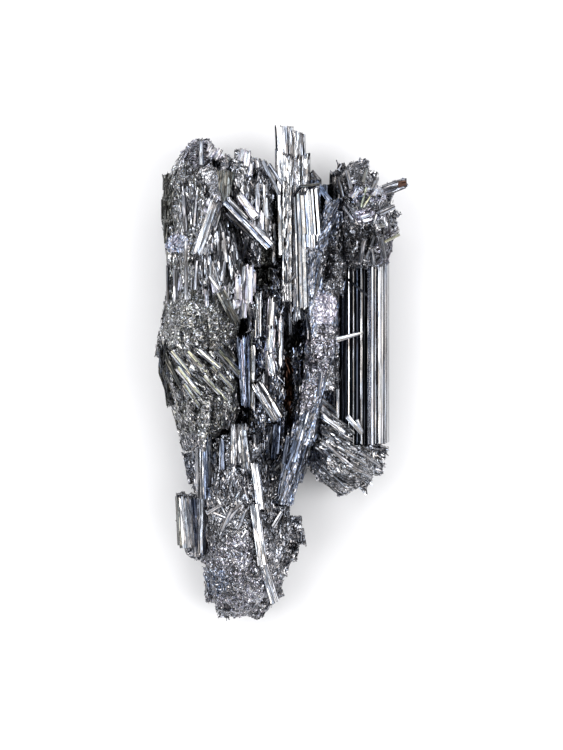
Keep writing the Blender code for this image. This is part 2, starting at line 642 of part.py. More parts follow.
def box_of(piece):
    """Lowest and highest corners of a piece, in millimetres."""
    corners = [v.co / MM for v in piece.data.vertices]
    return [[pick(c[i] for c in corners) for i in range(3)] for pick in (min, max)]


def smooth_over(piece, flat=4.0):
    """Merge faces that lie within a few degrees of one plane."""
    mesh = bmesh.new()
    mesh.from_mesh(piece.data)
    bmesh.ops.dissolve_limit(mesh, angle_limit=radians(flat), verts=mesh.verts, edges=mesh.edges)
    bmesh.ops.triangulate(mesh, faces=mesh.faces)
    mesh.to_mesh(piece.data)
    mesh.free()


def near(a, b, margin=1.0):
    """Whether two boxes come within margin of each other."""
    return all(a[0][i] - margin < b[1][i] and b[0][i] - margin < a[1][i] for i in range(3))


def finish(name, colour):
    """The plain Principled material of one growth."""
    red, green, blue, rough = colour
    material = bpy.data.materials.new(name)
    material.use_nodes = True
    shader = material.node_tree.nodes["Principled BSDF"]
    shader.inputs["Base Color"].default_value = (red, green, blue, 1)
    shader.inputs["Roughness"].default_value = rough
    shader.inputs["Metallic"].default_value = 1.0
    return material


def build():
    for leftover in list(bpy.data.objects):
        bpy.data.objects.remove(leftover)
    made = {}
    for name, (maker, colour) in GROWTHS.items():
        pieces = maker()
        solid = grown(name, pieces)
        box = box_of(solid)
        tools = [grown(f"{other}_room", made[other][0], GAP) for other in made if near(box, made[other][1])]
        boolean(solid, "DIFFERENCE", tools + [underside()])
        solid.name = name
        keep_main_body(solid)
        smooth_over(solid)
        solid.data.materials.append(finish(f"{name}_finish", FINISHES[colour]))
        made[name] = (pieces, box)


build()
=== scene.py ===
"""Looks of the stibnite crystal spray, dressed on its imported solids.

Every growth of the cluster is one mesh of facets: striated prisms that stand free, laths laid where they
lie on the growth below, and a crust of small laths and grains over the rest. Lengths are millimetres on
the specimen and MM turns them into metres. Directions are degrees clockwise from +Y, seen from above.
"""

from dataclasses import dataclass
from math import pi, radians, tau

import bmesh
import bpy
import numpy as np
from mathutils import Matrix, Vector, noise
from mathutils.bvhtree import BVHTree


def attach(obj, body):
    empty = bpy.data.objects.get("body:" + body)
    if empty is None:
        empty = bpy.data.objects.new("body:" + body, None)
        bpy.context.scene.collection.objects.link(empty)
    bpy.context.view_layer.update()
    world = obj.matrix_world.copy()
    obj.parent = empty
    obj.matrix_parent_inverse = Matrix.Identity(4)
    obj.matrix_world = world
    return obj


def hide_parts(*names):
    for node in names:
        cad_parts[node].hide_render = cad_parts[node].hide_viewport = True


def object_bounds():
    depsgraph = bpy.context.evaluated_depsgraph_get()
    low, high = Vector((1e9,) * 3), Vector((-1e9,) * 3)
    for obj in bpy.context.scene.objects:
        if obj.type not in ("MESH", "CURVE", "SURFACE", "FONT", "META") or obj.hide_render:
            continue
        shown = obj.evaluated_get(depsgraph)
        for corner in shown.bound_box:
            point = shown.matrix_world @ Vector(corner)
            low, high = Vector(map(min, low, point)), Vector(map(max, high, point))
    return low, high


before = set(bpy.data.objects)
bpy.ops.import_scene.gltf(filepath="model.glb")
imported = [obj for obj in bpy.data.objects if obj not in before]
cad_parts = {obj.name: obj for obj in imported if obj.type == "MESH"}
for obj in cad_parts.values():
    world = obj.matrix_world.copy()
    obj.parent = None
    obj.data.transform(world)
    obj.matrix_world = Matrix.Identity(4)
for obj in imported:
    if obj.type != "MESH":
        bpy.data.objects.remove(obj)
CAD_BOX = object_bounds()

bl_info = {
    "name": "Stibnite Crystal Spray",
    "version": (1, 0, 0),
    "blender": (4, 5, 0),
    "location": "3D View > Sidebar > Stibnite",
    "description": "Grows the prisms, laths and crusts of a stibnite cluster on its solids",
    "category": "Add Mesh",
}

MM = 0.001
PLAN_LEVEL = 15.0  # height at which the places seen from above are measured
TOP_LEVEL = 22.0  # height from which a place beside a growth looks for its nearest face
PROUD = 0.3  # how far a facet may stand past the solids' box
UP = np.array((0.0, 0.0, 1.0))
CLUMP = 0.2  # clumps of fibres to a fibre's width
BLOTCH = 0.25  # stains to a fibre's width
DRIFT = 0.05  # broad light and dark parts to a fibre's width
ROUGH_RANGE = (0.08, 0.7)  # least and most roughness anywhere
STRETCH = 0.25  # width of a fibre over its length
FINE_GRAIN = (0.24, 1.4)  # width and length of the small crystals that a lath is built of
BLOCK = (1.1, 3.0)  # width and length of the steps in a growth's ground
STEP = 0.3  # height of those steps
SINK = 0.15  # how deep the ground lies under the solid's faces
EDGE = 0.8  # longest edge of the ground's facets
FLANK = 0.35  # upward part of a facet's normal, or share of the mess, on the growth's flanks
ROOM = 0.7  # a lath needs this much free space over the surface
SNAG = 0.25  # a lath whose end stands further off the solid is cut short
STEEP = 0.4  # a lath that would climb more than this, as a sine, turns aside
HIDDEN_FACETS = 20  # facets round the side of a prism that its crest doesn't give
GROOVE_SHADE = 0.08  # tone of a groove to that of the face beside it, painted shade in the groove

# size in grains, darkest and brightest tone, sharpness of the seams, which are painted dark as shade, and
# tilt, of clumps and of grains
GRAINS = ((CLUMP, 0.65, 1.35, 40.0, 0.3), (1.0, 0.18, 2.3, 6.0, 0.9))


# ---- values that a user may change --------------------------------------------------------------


def colour(name, description, default):
    """A colour property."""
    return bpy.props.FloatVectorProperty(
        name=name, description=description, default=default, size=3, subtype="COLOR", min=0, max=1
    )


def distance(name, description, default):
    """A length property, in metres."""
    return bpy.props.FloatProperty(
        name=name, description=description, default=default, min=0, unit="LENGTH", subtype="DISTANCE"
    )


def amount(name, description, default, most=1.0):
    """A plain number from 0 to most."""
    return bpy.props.FloatProperty(name=name, description=description, default=default, min=0, max=most)


class StibniteTints(bpy.types.PropertyGroup):
    """Reflected colours of the crystals; white is painted highlight and dark is painted shade."""

    steel: colour("Steel", "Lead-grey of most facets", (0.66, 0.67, 0.72))
    # white: painted highlight, facets painted near white where the metal would catch the light
    white: colour("White", "Facets that catch the light", (0.92, 0.94, 0.99))
    blue: colour("Blue", "Smooth striated faces", (0.50, 0.59, 0.80))
    lilac: colour("Lilac", "Pale fine-grained crust", (0.74, 0.72, 0.84))
    olive: colour("Olive", "Weathered faces of the left bundle", (0.58, 0.59, 0.55))
    straw: colour("Straw", "Yellowish loose needles", (0.78, 0.79, 0.58))
    rust: colour("Rust", "Iron stain in the deep slots", (0.30, 0.16, 0.11))
    # dark: painted shade and painted dark reflection, for faces turned from the light
    dark: colour("Dark", "Blue-black of faces turned from the light", (0.30, 0.33, 0.40))


class StibniteLustre(bpy.types.PropertyGroup):
    """How the facets shine."""

    bright_facets: amount("Bright roughness", "Roughness of the clean prisms", 0.20)
    lead_grey: amount("Lead roughness", "Roughness of the lead-grey growths", 0.28)
    blued_grey: amount("Blued roughness", "Roughness of the blue-tinted columns", 0.23)
    tarnished_grey: amount("Tarnished roughness", "Roughness of the weathered bundle", 0.32)
    tilt: amount("Tilt", "How far the small crystals of a face lean from it", 0.9, 2.0)
    relief: distance("Relief", "Depth of the striations", 0.00004)


class StibniteStage(bpy.types.PropertyGroup):
    """Table, light and camera."""

    floor_radius: distance("Floor radius", "Flat part of the table", 1.3)
    rim_height: distance("Rim height", "Height of the curved backdrop", 1.2)
    camera_height: distance("Camera height", "Camera above the table", 0.634)
    focal_length: amount("Focal length", "Lens in millimetres", 135.0, 500.0)
    side_power: amount("Side light", "Power of each side softbox in watts", 14.0, 500.0)
    end_power: amount("End light", "Power of the softboxes at head and foot in watts", 9.0, 500.0)
    room: amount("Room", "Brightness of the room behind the lights", 0.75, 5.0)


# ---- shader maths -------------------------------------------------------------------------------


class Wire:
    """A socket in an expression: arithmetic on it adds Math nodes."""

    def __init__(self, shader, socket):
        self.shader = shader
        self.socket = socket

    def maths(self, operation, first, second):
        return self.shader.node("Math", {0: first, 1: second}, operation=operation)

    def __add__(self, other):
        return self.maths("ADD", self, other)

    def __radd__(self, other):
        return self.maths("ADD", other, self)

    def __sub__(self, other):
        return self.maths("SUBTRACT", self, other)

    def __rsub__(self, other):
        return self.maths("SUBTRACT", other, self)

    def __mul__(self, other):
        return self.maths("MULTIPLY", self, other)

    def __rmul__(self, other):
        return self.maths("MULTIPLY", other, self)

    def other(self, name):
        """Another output of the same node."""
        return Wire(self.shader, self.socket.node.outputs[name])

    def between(self, low, high):
        return self.maths("MINIMUM", self.maths("MAXIMUM", self, low), high)


class Shader:
    """A material as it is wired up."""

    def __init__(self, name):
        self.material = bpy.data.materials.new(name)
        self.material.use_nodes = True
        self.tree = self.material.node_tree
        self.tree.nodes.clear()

    def node(self, kind, sockets=None, out=0, **settings):
        """Add a node, its settings first and then the values or wires of its sockets. Gives one output."""
        made = self.tree.nodes.new("ShaderNode" + kind)
        for name, value in settings.items():
            setattr(made, name, value)
        for name, value in (sockets or {}).items():
            if isinstance(value, Wire):
                self.tree.links.new(value.socket, made.inputs[name])
            else:
                made.inputs[name].default_value = value
        return Wire(self, made.outputs[out]) if made.outputs else None

    def multiplied(self, first, second):
        """Product of two colours. The node's colour sockets come after its number and vector ones."""
        sockets = {0: 1.0, 6: first, 7: second}
        return self.node("Mix", sockets, 2, data_type="RGBA", blend_type="MULTIPLY")

    def surface(self, sockets):
        """The material, ended in a Principled shader with these sockets."""
        self.node("OutputMaterial", {"Surface": self.node("BsdfPrincipled", sockets)})
        return self.material


def mineral(name, roughness):
    """Metallic crystal: each facet's own shade, broken into small crystals of their own tone and tilt."""
    values = bpy.context.scene.stibnite_lustre
    shader = Shader(name)
    # the facet's colour, with its painted highlight and painted shade
    shade = shader.node("Attribute", None, "Color", attribute_name="shade")
    depth = shader.node("Attribute", None, "Alpha", attribute_name="shade")
    lie = shader.node("Attribute", None, "Vector", attribute_name="lie")
    mess = shader.node("Attribute", None, "Fac", attribute_name="mess")
    blotch = shader.node("TexNoise", {"Vector": lie, "Scale": BLOTCH, "Detail": 4.0})
    clump = shader.node("TexVoronoi", {"Vector": lie, "Scale": CLUMP}, "Color")
    turn = (shader.node("SeparateColor", {"Color": clump}, "Blue") - 0.5) * mess
    turned = {"Vector": lie, "Center": (0, 0, 0), "Angle": turn * tau}
    way = shader.node("VectorRotate", turned, rotation_type="Y_AXIS")
    fibre = shader.node("VectorMath", {0: way, 1: (1, 1, STRETCH)}, operation="MULTIPLY")
    normal = shader.node("NewGeometry", None, "Normal")
    drift = shader.node("TexNoise", {"Vector": lie, "Scale": DRIFT, "Detail": 3.0})
    tone_and_seam_shade = (0.6 + blotch) * (drift * 2.0 + 0.02)
    for place, scale, least, most, gap, tilt in ((lie, *GRAINS[0]), (fibre, *GRAINS[1])):
        sockets = {"Vector": place, "Scale": scale}
        cells = shader.node("TexVoronoi", sockets, "Color")
        seam = shader.node("TexVoronoi", sockets, "Distance", feature="DISTANCE_TO_EDGE")
        lot = shader.node("SeparateColor", {"Color": cells})
        # the small crystals' tones, with painted shade in the seams between them
        tone_and_seam_shade = tone_and_seam_shade * (lot * lot * (most - least) + least) * (seam * (scale * gap) + 0.2).between(0.0, 1.0)
        centred = shader.node("VectorMath", {0: cells, 1: (0.5, 0.5, 0.5)}, operation="SUBTRACT")
        push = {0: centred, "Scale": depth * (tilt * values.tilt)}
        lean = shader.node("VectorMath", push, operation="SCALE")
        normal = shader.node("VectorMath", {0: normal, 1: lean}, operation="ADD")
    tone_and_seam_shade = 1 + depth * (tone_and_seam_shade - 1)
    warmth = lot.other("Green")
    warm = {"Red": tone_and_seam_shade * (warmth * 0.2 + 0.9), "Green": tone_and_seam_shade, "Blue": tone_and_seam_shade * (1.14 - warmth * 0.24)}
    facing = shader.node("VectorMath", {0: normal}, operation="NORMALIZE")
    bump = {"Strength": 0.5, "Distance": values.relief, "Height": blotch, "Normal": facing}
    return shader.surface({
        "Base Color": shader.multiplied(shade, shader.node("CombineColor", warm)),
        "Metallic": 1.0,
        "Roughness": (blotch * 0.3 + (roughness - 0.15)).between(*ROUGH_RANGE),
        "Normal": shader.node("Bump", bump),
    })


# ---- the facets of one growth -------------------------------------------------------------------


def unit(vectors):
    """Vectors of length one."""
    return vectors / np.maximum(np.linalg.norm(vectors, axis=-1, keepdims=True), 1e-9)


def heading(degrees):
    """Level direction that many degrees clockwise from +Y."""
    angle = np.radians(degrees)
    return np.stack((np.sin(angle), np.cos(angle), np.zeros_like(angle)), axis=-1)


def squared(values, power):
    """Sines or cosines pulled to the corners of a box (power < 1) or a diamond (power > 1)."""
    return np.sign(values) * np.abs(values) ** power


def solid_tree(names):
    """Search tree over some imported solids, in millimetres."""
    points, triangles = [], []
    for name in names:
        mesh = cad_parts[name].data
        mesh.calc_loop_triangles()
        start = len(points)
        points += [vertex.co / MM for vertex in mesh.vertices]
        triangles += [tuple(start + i for i in triangle.vertices) for triangle in mesh.loop_triangles]
    return BVHTree.FromPolygons(points, triangles)


def eye():
    """Where the places seen from above are looked at from."""
    return Vector((0, 0, bpy.context.scene.stibnite_stage.camera_height / MM))


def tint_of(name):
    return np.array(getattr(bpy.context.scene.stibnite_tints, name)[:])


@dataclass(frozen=True)
class Patch:
    """A part of a growth's surface, as an ellipse seen from above, and the laths that cover it."""

    x: float
    y: float
    across: float
    along: float
    slant: float = 0.0  # turn of the ellipse, in degrees clockwise
    lean: float = 0.0  # direction of the laths
    mess: float = 0.3  # 0 combed, 1 every way
    length: float = 1.6
    width: float = 0.34
    tone: tuple = (0.06, 0.85)
    tints: str = "steel"
    cover: float = 1.2  # laths to a square millimetre
    ground: tuple = (0.7, 1.0)  # tone of the growth between the laths
    grain: tuple = (0.17, 0.6)  # width and length of the small crystals on the ground
    rough: float = 1.0  # how strongly the small crystals show

    def reach(self, points):
        """0 in the middle of the patch and 1 at its edge."""
        angle = radians(self.slant)
        dx, dy = points[:, 0] - self.x, points[:, 1] - self.y
        side = dx * np.cos(angle) - dy * np.sin(angle)
        line = dx * np.sin(angle) + dy * np.cos(angle)
        return np.hypot(side / self.across, line / self.along)


class Growth:
    """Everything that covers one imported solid, gathered as arrays and made into one mesh."""

    def __init__(self, node, seed, patches):
        self.node = node
        self.rng = np.random.default_rng(seed)
        self.patches = patches
        self.points, self.loops, self.sizes, self.shades, self.lies, self.mess = [], [], [], [], [], []
        self.count = 0
        self.own = solid_tree([node])
        self.others = solid_tree([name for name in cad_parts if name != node])

    def add(self, points, faces, shades, lies, broken, mess=0.0):
        """Gather points, faces of as many corners each, a colour a face and a place in its grain a corner.

        Broken is how strongly the small crystals of a face show, one value for all or one a face.
        """
        self.points.append(points)
        self.extend(faces, shades, lies, broken, mess)
        self.count += len(points)

    def extend(self, faces, shades, lies, broken, mess=0.0):
        """Gather faces on the points about to be counted."""
        self.loops.append((faces + self.count).ravel())
        self.sizes.append(np.full(len(faces), faces.shape[1]))
        self.shades.append(np.column_stack((np.clip(shades, 0, 1), np.broadcast_to(broken, len(faces)))))
        self.lies.append(lies.reshape(-1, 3) * (1, 1, 1 / STRETCH))
        self.mess.append(np.broadcast_to(mess, len(faces)))

    def tones(self, low, high, count):
        """Shades from low to high, more of them dark than bright."""
        return low * (high / low) ** self.rng.random(count)

    def tinted(self, tones, tints):
        """Colours of those tones, each in one of the named tints."""
        choices = np.array([tint_of(name) for name in tints.split()])
        return tones[:, None] * choices[self.rng.integers(len(choices), size=len(tones))]

    # ---- the growth's own surface

    def plan(self, points):
        """Where points are seen from above, at the plan's level."""
        level = eye().z
        return points[:, :2] * ((level - PLAN_LEVEL) / (level - points[:, 2:3]))

    def patch_of(self, points):
        """Index of the patch over each point, the first patch being the growth's usual cover."""
        flat = self.plan(points)
        wander = np.array([noise.noise(Vector((x * 0.5, y * 0.5, 7.0))) for x, y in flat])
        best, chosen = np.ones(len(points)), np.zeros(len(points), int)
        for i, patch in enumerate(self.patches[1:], 1):
            reach = patch.reach(flat) + wander * 0.5
            closer = reach < best
            best[closer], chosen[closer] = reach[closer], i
        return chosen

    def over(self, chosen, value):
        """A value of the patch over each point."""
        return np.array([getattr(patch, value) for patch in self.patches])[chosen]

    def grained(self, points, chosen, sizes):
        """Places of these points in the grain of their patches: across, up and along, in grains."""
        lean = heading(self.over(chosen, "lean"))
        side = np.cross(lean, UP)
        across = (points * side).sum(axis=-1) / sizes[..., 0]
        along = (points * lean).sum(axis=-1) / sizes[..., 1]
        return np.stack((across, points[..., 2] / sizes[..., 0], along), axis=-1)

    def ground(self):
        """The solid's own faces, cut small, stepped like grown-together laths and sunk a little."""
        mesh = bmesh.new()
        mesh.from_mesh(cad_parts[self.node].data)
        bmesh.ops.scale(mesh, vec=(1 / MM,) * 3, verts=mesh.verts)
        bmesh.ops.remove_doubles(mesh, verts=mesh.verts, dist=0.01)
        for _ in range(6):
            long = [e for e in mesh.edges if e.calc_length() > EDGE]
            bmesh.ops.subdivide_edges(mesh, edges=long, cuts=1)
            bmesh.ops.triangulate(mesh, faces=[f for f in mesh.faces if len(f.verts) > 3])
        mesh.normal_update()
        places = np.array([v.co for v in mesh.verts])
        steps = self.grained(places, self.patch_of(places), np.array(BLOCK))
        for vertex, place in zip(mesh.verts, steps):
            rise = (noise.cell(Vector(place)) - 0.5) * STEP + noise.noise(vertex.co * 0.4) * 0.3
            vertex.co += vertex.normal * (rise - SINK)
        mesh.verts.index_update()
        points = np.array([v.co for v in mesh.verts])
        faces = np.array([[v.index for v in f.verts] for f in mesh.faces if f.calc_area() > 1e-5])
        mesh.free()
        chosen = self.patch_of(points[faces].mean(axis=1))
        shades = np.zeros((len(faces), 3))
        for i, patch in enumerate(self.patches):
            mine = chosen == i
            tones = self.tones(*patch.ground, int(mine.sum()))
            shades[mine] = self.tinted(tones, patch.tints)
        corners = points[faces]
        rows = np.repeat(chosen[:, None], 3, axis=1)
        lies = self.grained(corners, rows, self.over(rows, "grain"))
        cross = unit(np.cross(corners[:, 1] - corners[:, 0], corners[:, 2] - corners[:, 0]))
        mess = self.over(chosen, "mess") * np.where(cross[:, 2] < FLANK, FLANK, 1.0)
        rough = self.over(chosen, "rough")
        # where the ground folds flat onto itself, one of the two faces is enough
        once = np.sort(np.unique(np.sort(faces, axis=1), axis=0, return_index=True)[1])
        self.add(points, faces[once], shades[once], lies[once], rough[once], mess[once])

    def crust(self):
        """Laths and grains scattered over the solid, patch by patch."""
        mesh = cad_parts[self.node].data
        mesh.calc_loop_triangles()
        corners = np.array([v.co for v in mesh.vertices]) / MM
        triangles = corners[np.array([t.vertices for t in mesh.loop_triangles])]
        cross = np.cross(triangles[:, 1] - triangles[:, 0], triangles[:, 2] - triangles[:, 0])
        areas = np.linalg.norm(cross, axis=1) / 2
        most = max(patch.cover for patch in self.patches)
        count = int(areas.sum() * most)
        picked = self.rng.choice(len(areas), count, p=areas / areas.sum())
        a, b = self.rng.random((2, count, 1))
        fold = (a + b) > 1
        a, b = np.where(fold, 1 - a, a), np.where(fold, 1 - b, b)
        rows = triangles[picked]
        points = rows[:, 0] * (1 - a - b) + rows[:, 1] * a + rows[:, 2] * b
        normals = unit(cross[picked])
        chosen = self.patch_of(points)
        facing = np.where(normals[:, 2] > 0.15, 1.0, np.where(normals[:, 2] > -0.35, 0.45, 0.2))
        keep = self.rng.random(count) < self.over(chosen, "cover") / most * facing
        points, normals, chosen = points[keep], normals[keep], chosen[keep]
        free = np.array([self.free(p, n) for p, n in zip(points, normals)], bool)
        points, normals, chosen = points[free], normals[free], chosen[free]
        for i, patch in enumerate(self.patches):
            mine = chosen == i
            if mine.any():
                self.cover(patch, points[mine], normals[mine])

    def stand(self, points):
        """How far points stand off the solid."""
        heights = []
        for point in points:
            place, normal, *_ = self.own.find_nearest(Vector(point))
            gap = Vector(point) - place
            heights.append(gap.length if gap.dot(normal) > 0 else -gap.length)
        return np.array(heights)

    def free(self, point, normal):
        """Whether nothing else is pressed against the surface here."""
        start = Vector(point + normal * 0.02)
        return self.others.ray_cast(start, Vector(normal), ROOM)[0] is None

    def cover(self, patch, points, normals):
        """One patch's laths at these places on the surface."""
        rng, count = self.rng, len(points)
        leaning = heading(np.full(count, patch.lean))
        inward = (leaning * normals).sum(axis=1, keepdims=True)
        flat = leaning - normals * inward
        steep = np.linalg.norm(flat, axis=1, keepdims=True) < STEEP
        along = unit(np.where(steep, np.cross(normals, rng.normal(0, 1, (count, 3))), flat))
        side = unit(np.cross(along, normals))
        turn = rng.normal(0, 1.1 * patch.mess, (count, 1))
        lift = rng.normal(0, 0.2 * patch.mess + 0.04, (count, 1))
        along = unit(along * np.cos(turn) + side * np.sin(turn) + normals * lift)
        under = np.where(normals[:, 2] < 0.15, 1.35, 1.0)
        size = np.exp(rng.normal(-0.35, 0.5, count)) * under * np.where(np.abs(normals[:, 2]) < 0.4, 0.6, 1.0)
        long = patch.length * size * np.where(steep[:, 0], 0.5, 1.0)
        wide = patch.width * size**0.5 * rng.uniform(0.6, 1.2, count)
        deep = wide * rng.uniform(0.4, 0.9, count)
        middle = points + normals * (deep * rng.uniform(-0.4, 0.3, count))[:, None]
        half = along * long[:, None] / 2
        proud = np.maximum(self.stand(middle - half), self.stand(middle + half)) > SNAG
        half[proud] *= 0.3
        shades = self.tinted(self.tones(*patch.tone, count), patch.tints)
        self.laths(middle - half, middle + half, wide, deep, shades)

    # ---- crystals

    def laths(self, feet, tips, wide, deep, shades):
        """Four-sided laths, each facet a little lighter or darker than its neighbour."""
        rng, count = self.rng, len(feet)
        length = np.linalg.norm(tips - feet, axis=1)
        axis = unit(tips - feet)
        side = np.cross(axis, UP)
        upright = np.linalg.norm(side, axis=1) < 0.1
        side[upright] = (1.0, 0.0, 0.0)
        side = unit(side)
        front = np.cross(side, axis)
        spin = rng.uniform(0, tau, count)
        corner = np.arange(4) * tau / 4
        u = np.cos(corner) * wide[:, None] / 2
        v = np.sin(corner) * deep[:, None] / 2
        cu, su = np.cos(spin)[:, None], np.sin(spin)[:, None]
        across, up = u * cu - v * su, u * su + v * cu
        offset = side[:, None] * across[..., None] + front[:, None] * up[..., None]
        slant = rng.uniform(-0.6, 0.6, (count, 2))
        shift = axis[:, None] * (u * slant[:, :1] + v * slant[:, 1:])[..., None]
        sizes = rng.uniform(0.75, 1.0, (count, 2))
        low = feet[:, None] + offset * sizes[:, :1, None] - shift
        high = tips[:, None] + offset * sizes[:, 1:, None] + shift
        points = np.concatenate((low, high), axis=1).reshape(-1, 3)
        k = np.arange(4)
        around = np.stack((k, (k + 1) % 4, (k + 1) % 4 + 4, k + 4), axis=1)
        faces = np.concatenate((around, ((3, 2, 1, 0),), ((4, 5, 6, 7),)))
        rows = (faces[None] + np.arange(count)[:, None, None] * 8).reshape(-1, 4)
        varied = shades[:, None] * rng.uniform(0.55, 1.45, (count, 6, 1))
        place = rng.uniform(0, 400, (count, 1))
        run = np.stack((np.zeros_like(length), length), axis=1)
        width, reach = FINE_GRAIN
        lies = np.stack(
            (
                np.tile(u / width + place, 2),
                np.tile(v / width + place * 0.7, 2),
                np.repeat(run, 4, axis=1) / reach + place,
            ),
            axis=-1,
        ).reshape(-1, 3)
        self.add(points, rows, varied.reshape(-1, 3), lies[rows], 0.6)

    def ribs(self, crest, bands):
        """Facets across a prism, from -1 at its left to 1: (place, height, tone, tint).

        The crest is the outline they follow, as (place, height). Bands are (end, pitch, tone, tint, groove),
        left to right: faces of that pitch and tone with a groove after each, painted dark as shade.
        """
        rng = self.rng
        rows, place = [], -1.0
        for end, pitch, tone, tint, groove in bands:
            while place < end - pitch * 0.3:
                wide = pitch * rng.uniform(0.6, 1.4)
                rows.append((place, tone * rng.uniform(0.65, 1.25), tint, 0))
                rows.append((place + wide * (1 - groove), tone * GROOVE_SHADE, "dark", 1))
                place += wide
        # the last facet, at the prism's right edge, is painted dark as shade
        rows.append((1.0, 0.1, "dark", 0))
        places, heights = zip(*crest)
        out = []
        for place, tone, tint, sunk in rows:
            place = min(place, 1.0)
            height = np.interp(place, places, heights) - 0.02 * sunk + rng.uniform(-0.02, 0.02)
            out.append((place, height, tone, tint))
        return out

    def prism(
        self, foot, tip, width, depth, turn=0.0, stripes=30, relief=0.06, power=0.8, tone=(0.08, 0.9),
        tints="steel", taper=0.95, slope=0.0, ragged=0.5, cut=9.0, point=0.0, profile=None,
        grain=(0.3, 3.0), broken=0.6,
    ):
        """A striated prism: wide lengthwise facets with narrow grooves, painted as highlight and shade,
        broken at its ends.

        A profile gives the facets seen from above, left to right, as (place across from -1 to 1, height
        from -1 to 1, tone, tint); the rest of the section is filled in.
        """
        rng = self.rng
        foot, tip = np.array(foot, float), np.array(tip, float)
        length = np.linalg.norm(tip - foot)
        axis = (tip - foot) / length
        side = unit(np.cross(axis, UP))
        front = np.cross(side, axis)
        spin = radians(turn)
        side, front = side * np.cos(spin) + front * np.sin(spin), front * np.cos(spin) - side * np.sin(spin)
        # the dark and bright ends of the tone are painted shade and painted highlight on the facets
        dark, bright = tone
        if profile:
            over = np.array([row[:2] for row in profile])
            names = [row[3] for row in profile]
            under = np.linspace(0, -pi, HIDDEN_FACETS + 2)[1:-1]
            below = np.stack((squared(np.cos(under), power), squared(np.sin(under), power)), axis=1)
            section = np.concatenate((over, below))
            tones = [row[2] for row in profile] + [dark, bright] * (len(below) // 2)
            names += [tints.split()[0]] * len(below)
            shades = np.array([tint_of(name) for name in names]) * np.array(tones)[:, None]
        else:
            stripes += stripes % 2
            narrow = np.arange(stripes) % 2 == 1
            gaps = np.where(narrow, rng.uniform(0.15, 0.5, stripes), rng.uniform(0.6, 1.6, stripes))
            angles = pi - np.cumsum(gaps) / gaps.sum() * tau
            radius = 1 - relief * rng.uniform(0.0, 1.0, stripes)
            section = np.stack((squared(np.cos(angles), power), squared(np.sin(angles), power)), axis=1)
            section *= radius[:, None]
            lit, unlit = rng.uniform(0.35, 1.0, stripes) * bright, dark * rng.uniform(0.5, 2, stripes)
            tones = np.where(narrow, lit, unlit)
            shades = self.tinted(tones, tints)
        count = len(section)
        levels = max(2, round(length / cut) + 1)
        rows = np.linspace(0, 1, levels)
        rows[1:-1] += rng.uniform(-0.3, 0.3, levels - 2) / levels
        steps = rng.uniform(-ragged, ragged, (2, count)) + slope * section[:, 0]
        points, lies = [], []
        for i, share in enumerate(rows):
            size = 1 + (taper - 1) * share
            end = steps[1] * (i == levels - 1) - 0.4 * steps[0] * (i == 0)
            shape = section * (width / 2, depth / 2) * size
            ring = foot + axis * (share * length + end)[:, None]
            points.append(ring + side * shape[:, :1] + front * shape[:, 1:])
            lies.append(np.column_stack((shape / grain[0], (share * length + end) / grain[1])))
        k = np.arange(count)
        after = (k + 1) % count
        faces, colours = [], []
        for i in range(levels - 1):
            low, high = i * count, (i + 1) * count
            faces.append(np.stack((low + k, low + after, high + after, high + k), axis=1))
            colours.append(shades * rng.uniform(0.75, 1.25, (count, 1)))
        start = (levels - 1) * count
        points.append(np.array([foot, tip + axis * (point + 0.2 * ragged)]))
        lies.append(np.array([[0, 0, 0], [0, 0, length / grain[1]]]))
        ends = [
            np.stack((np.full(count, levels * count), after, k), axis=1),
            np.stack((np.full(count, levels * count + 1), start + k, start + after), axis=1),
        ]
        points, lies = np.concatenate(points), np.concatenate(lies) + rng.uniform(0, 99)
        walls, ends = np.concatenate(faces)[:, ::-1], np.concatenate(ends)[:, ::-1]
        snapped = self.tinted(self.tones(0.15, 0.8, 2 * count), "steel")
        self.extend(ends, snapped, lies[ends], 0.6)
        self.add(points, walls, np.concatenate(colours), lies[walls], broken)

    def seen(self, x, y):
        """Point of this growth's solid that is seen from above at (x, y), or the level under it."""
        start = eye()
        ray = (Vector((x, y, PLAN_LEVEL)) - start).normalized()
        hit = self.own.ray_cast(start, ray)[0]
        if hit is None:
            near = self.own.find_nearest(Vector((x, y, TOP_LEVEL)))[0]
            level = near.z if near else PLAN_LEVEL
            hit = start + ray * ((start.z - level) / -ray.z)
        return np.array(hit)

    def lay(self, x0, y0, x1, y1, width, tone=0.7, tint="steel", lift=0.35, fat=0.8, **looks):
        """A crystal laid on the growth between two places seen from above."""
        ends = [self.seen(x0, y0), self.seen(x1, y1)]
        middle = self.seen((x0 + x1) / 2, (y0 + y1) / 2)
        high = max(0.0, middle[2] - (ends[0][2] + ends[1][2]) / 2)
        rise = UP * (lift + high * 0.55)
        usual = {
            "turn": self.rng.uniform(-25, 25), "stripes": int(min(40, 4 + width * 7)), "tints": tint,
            "tone": (tone * 0.12, min(1.0, tone * 1.5)), "ragged": min(0.4, width * 0.3),
            "taper": 0.85, "relief": 0.16, "cut": 6.0,
        }
        self.prism(ends[0] + rise, ends[1] + rise, width, width * fat, **{**usual, **looks})

    def lay_all(self, *rows, **looks):
        """Crystals laid one after the other, those values of lay that differ in a row each."""
        for row in rows:
            self.lay(*row, **looks)

    def plates(self, bands, *rows, **looks):
        """Crystals laid flat one after the other, all with the same bands of facets."""
        self.lay_all(*rows, **{"turn": 0, "profile": self.ribs(FLAT_CREST, bands), **looks})

    def prisms(self, *rows, **looks):
        """Prisms one after the other, those values of prism that differ in a row each."""
        for row in rows:
            self.prism(*row, **looks)

    # ---- the finished piece

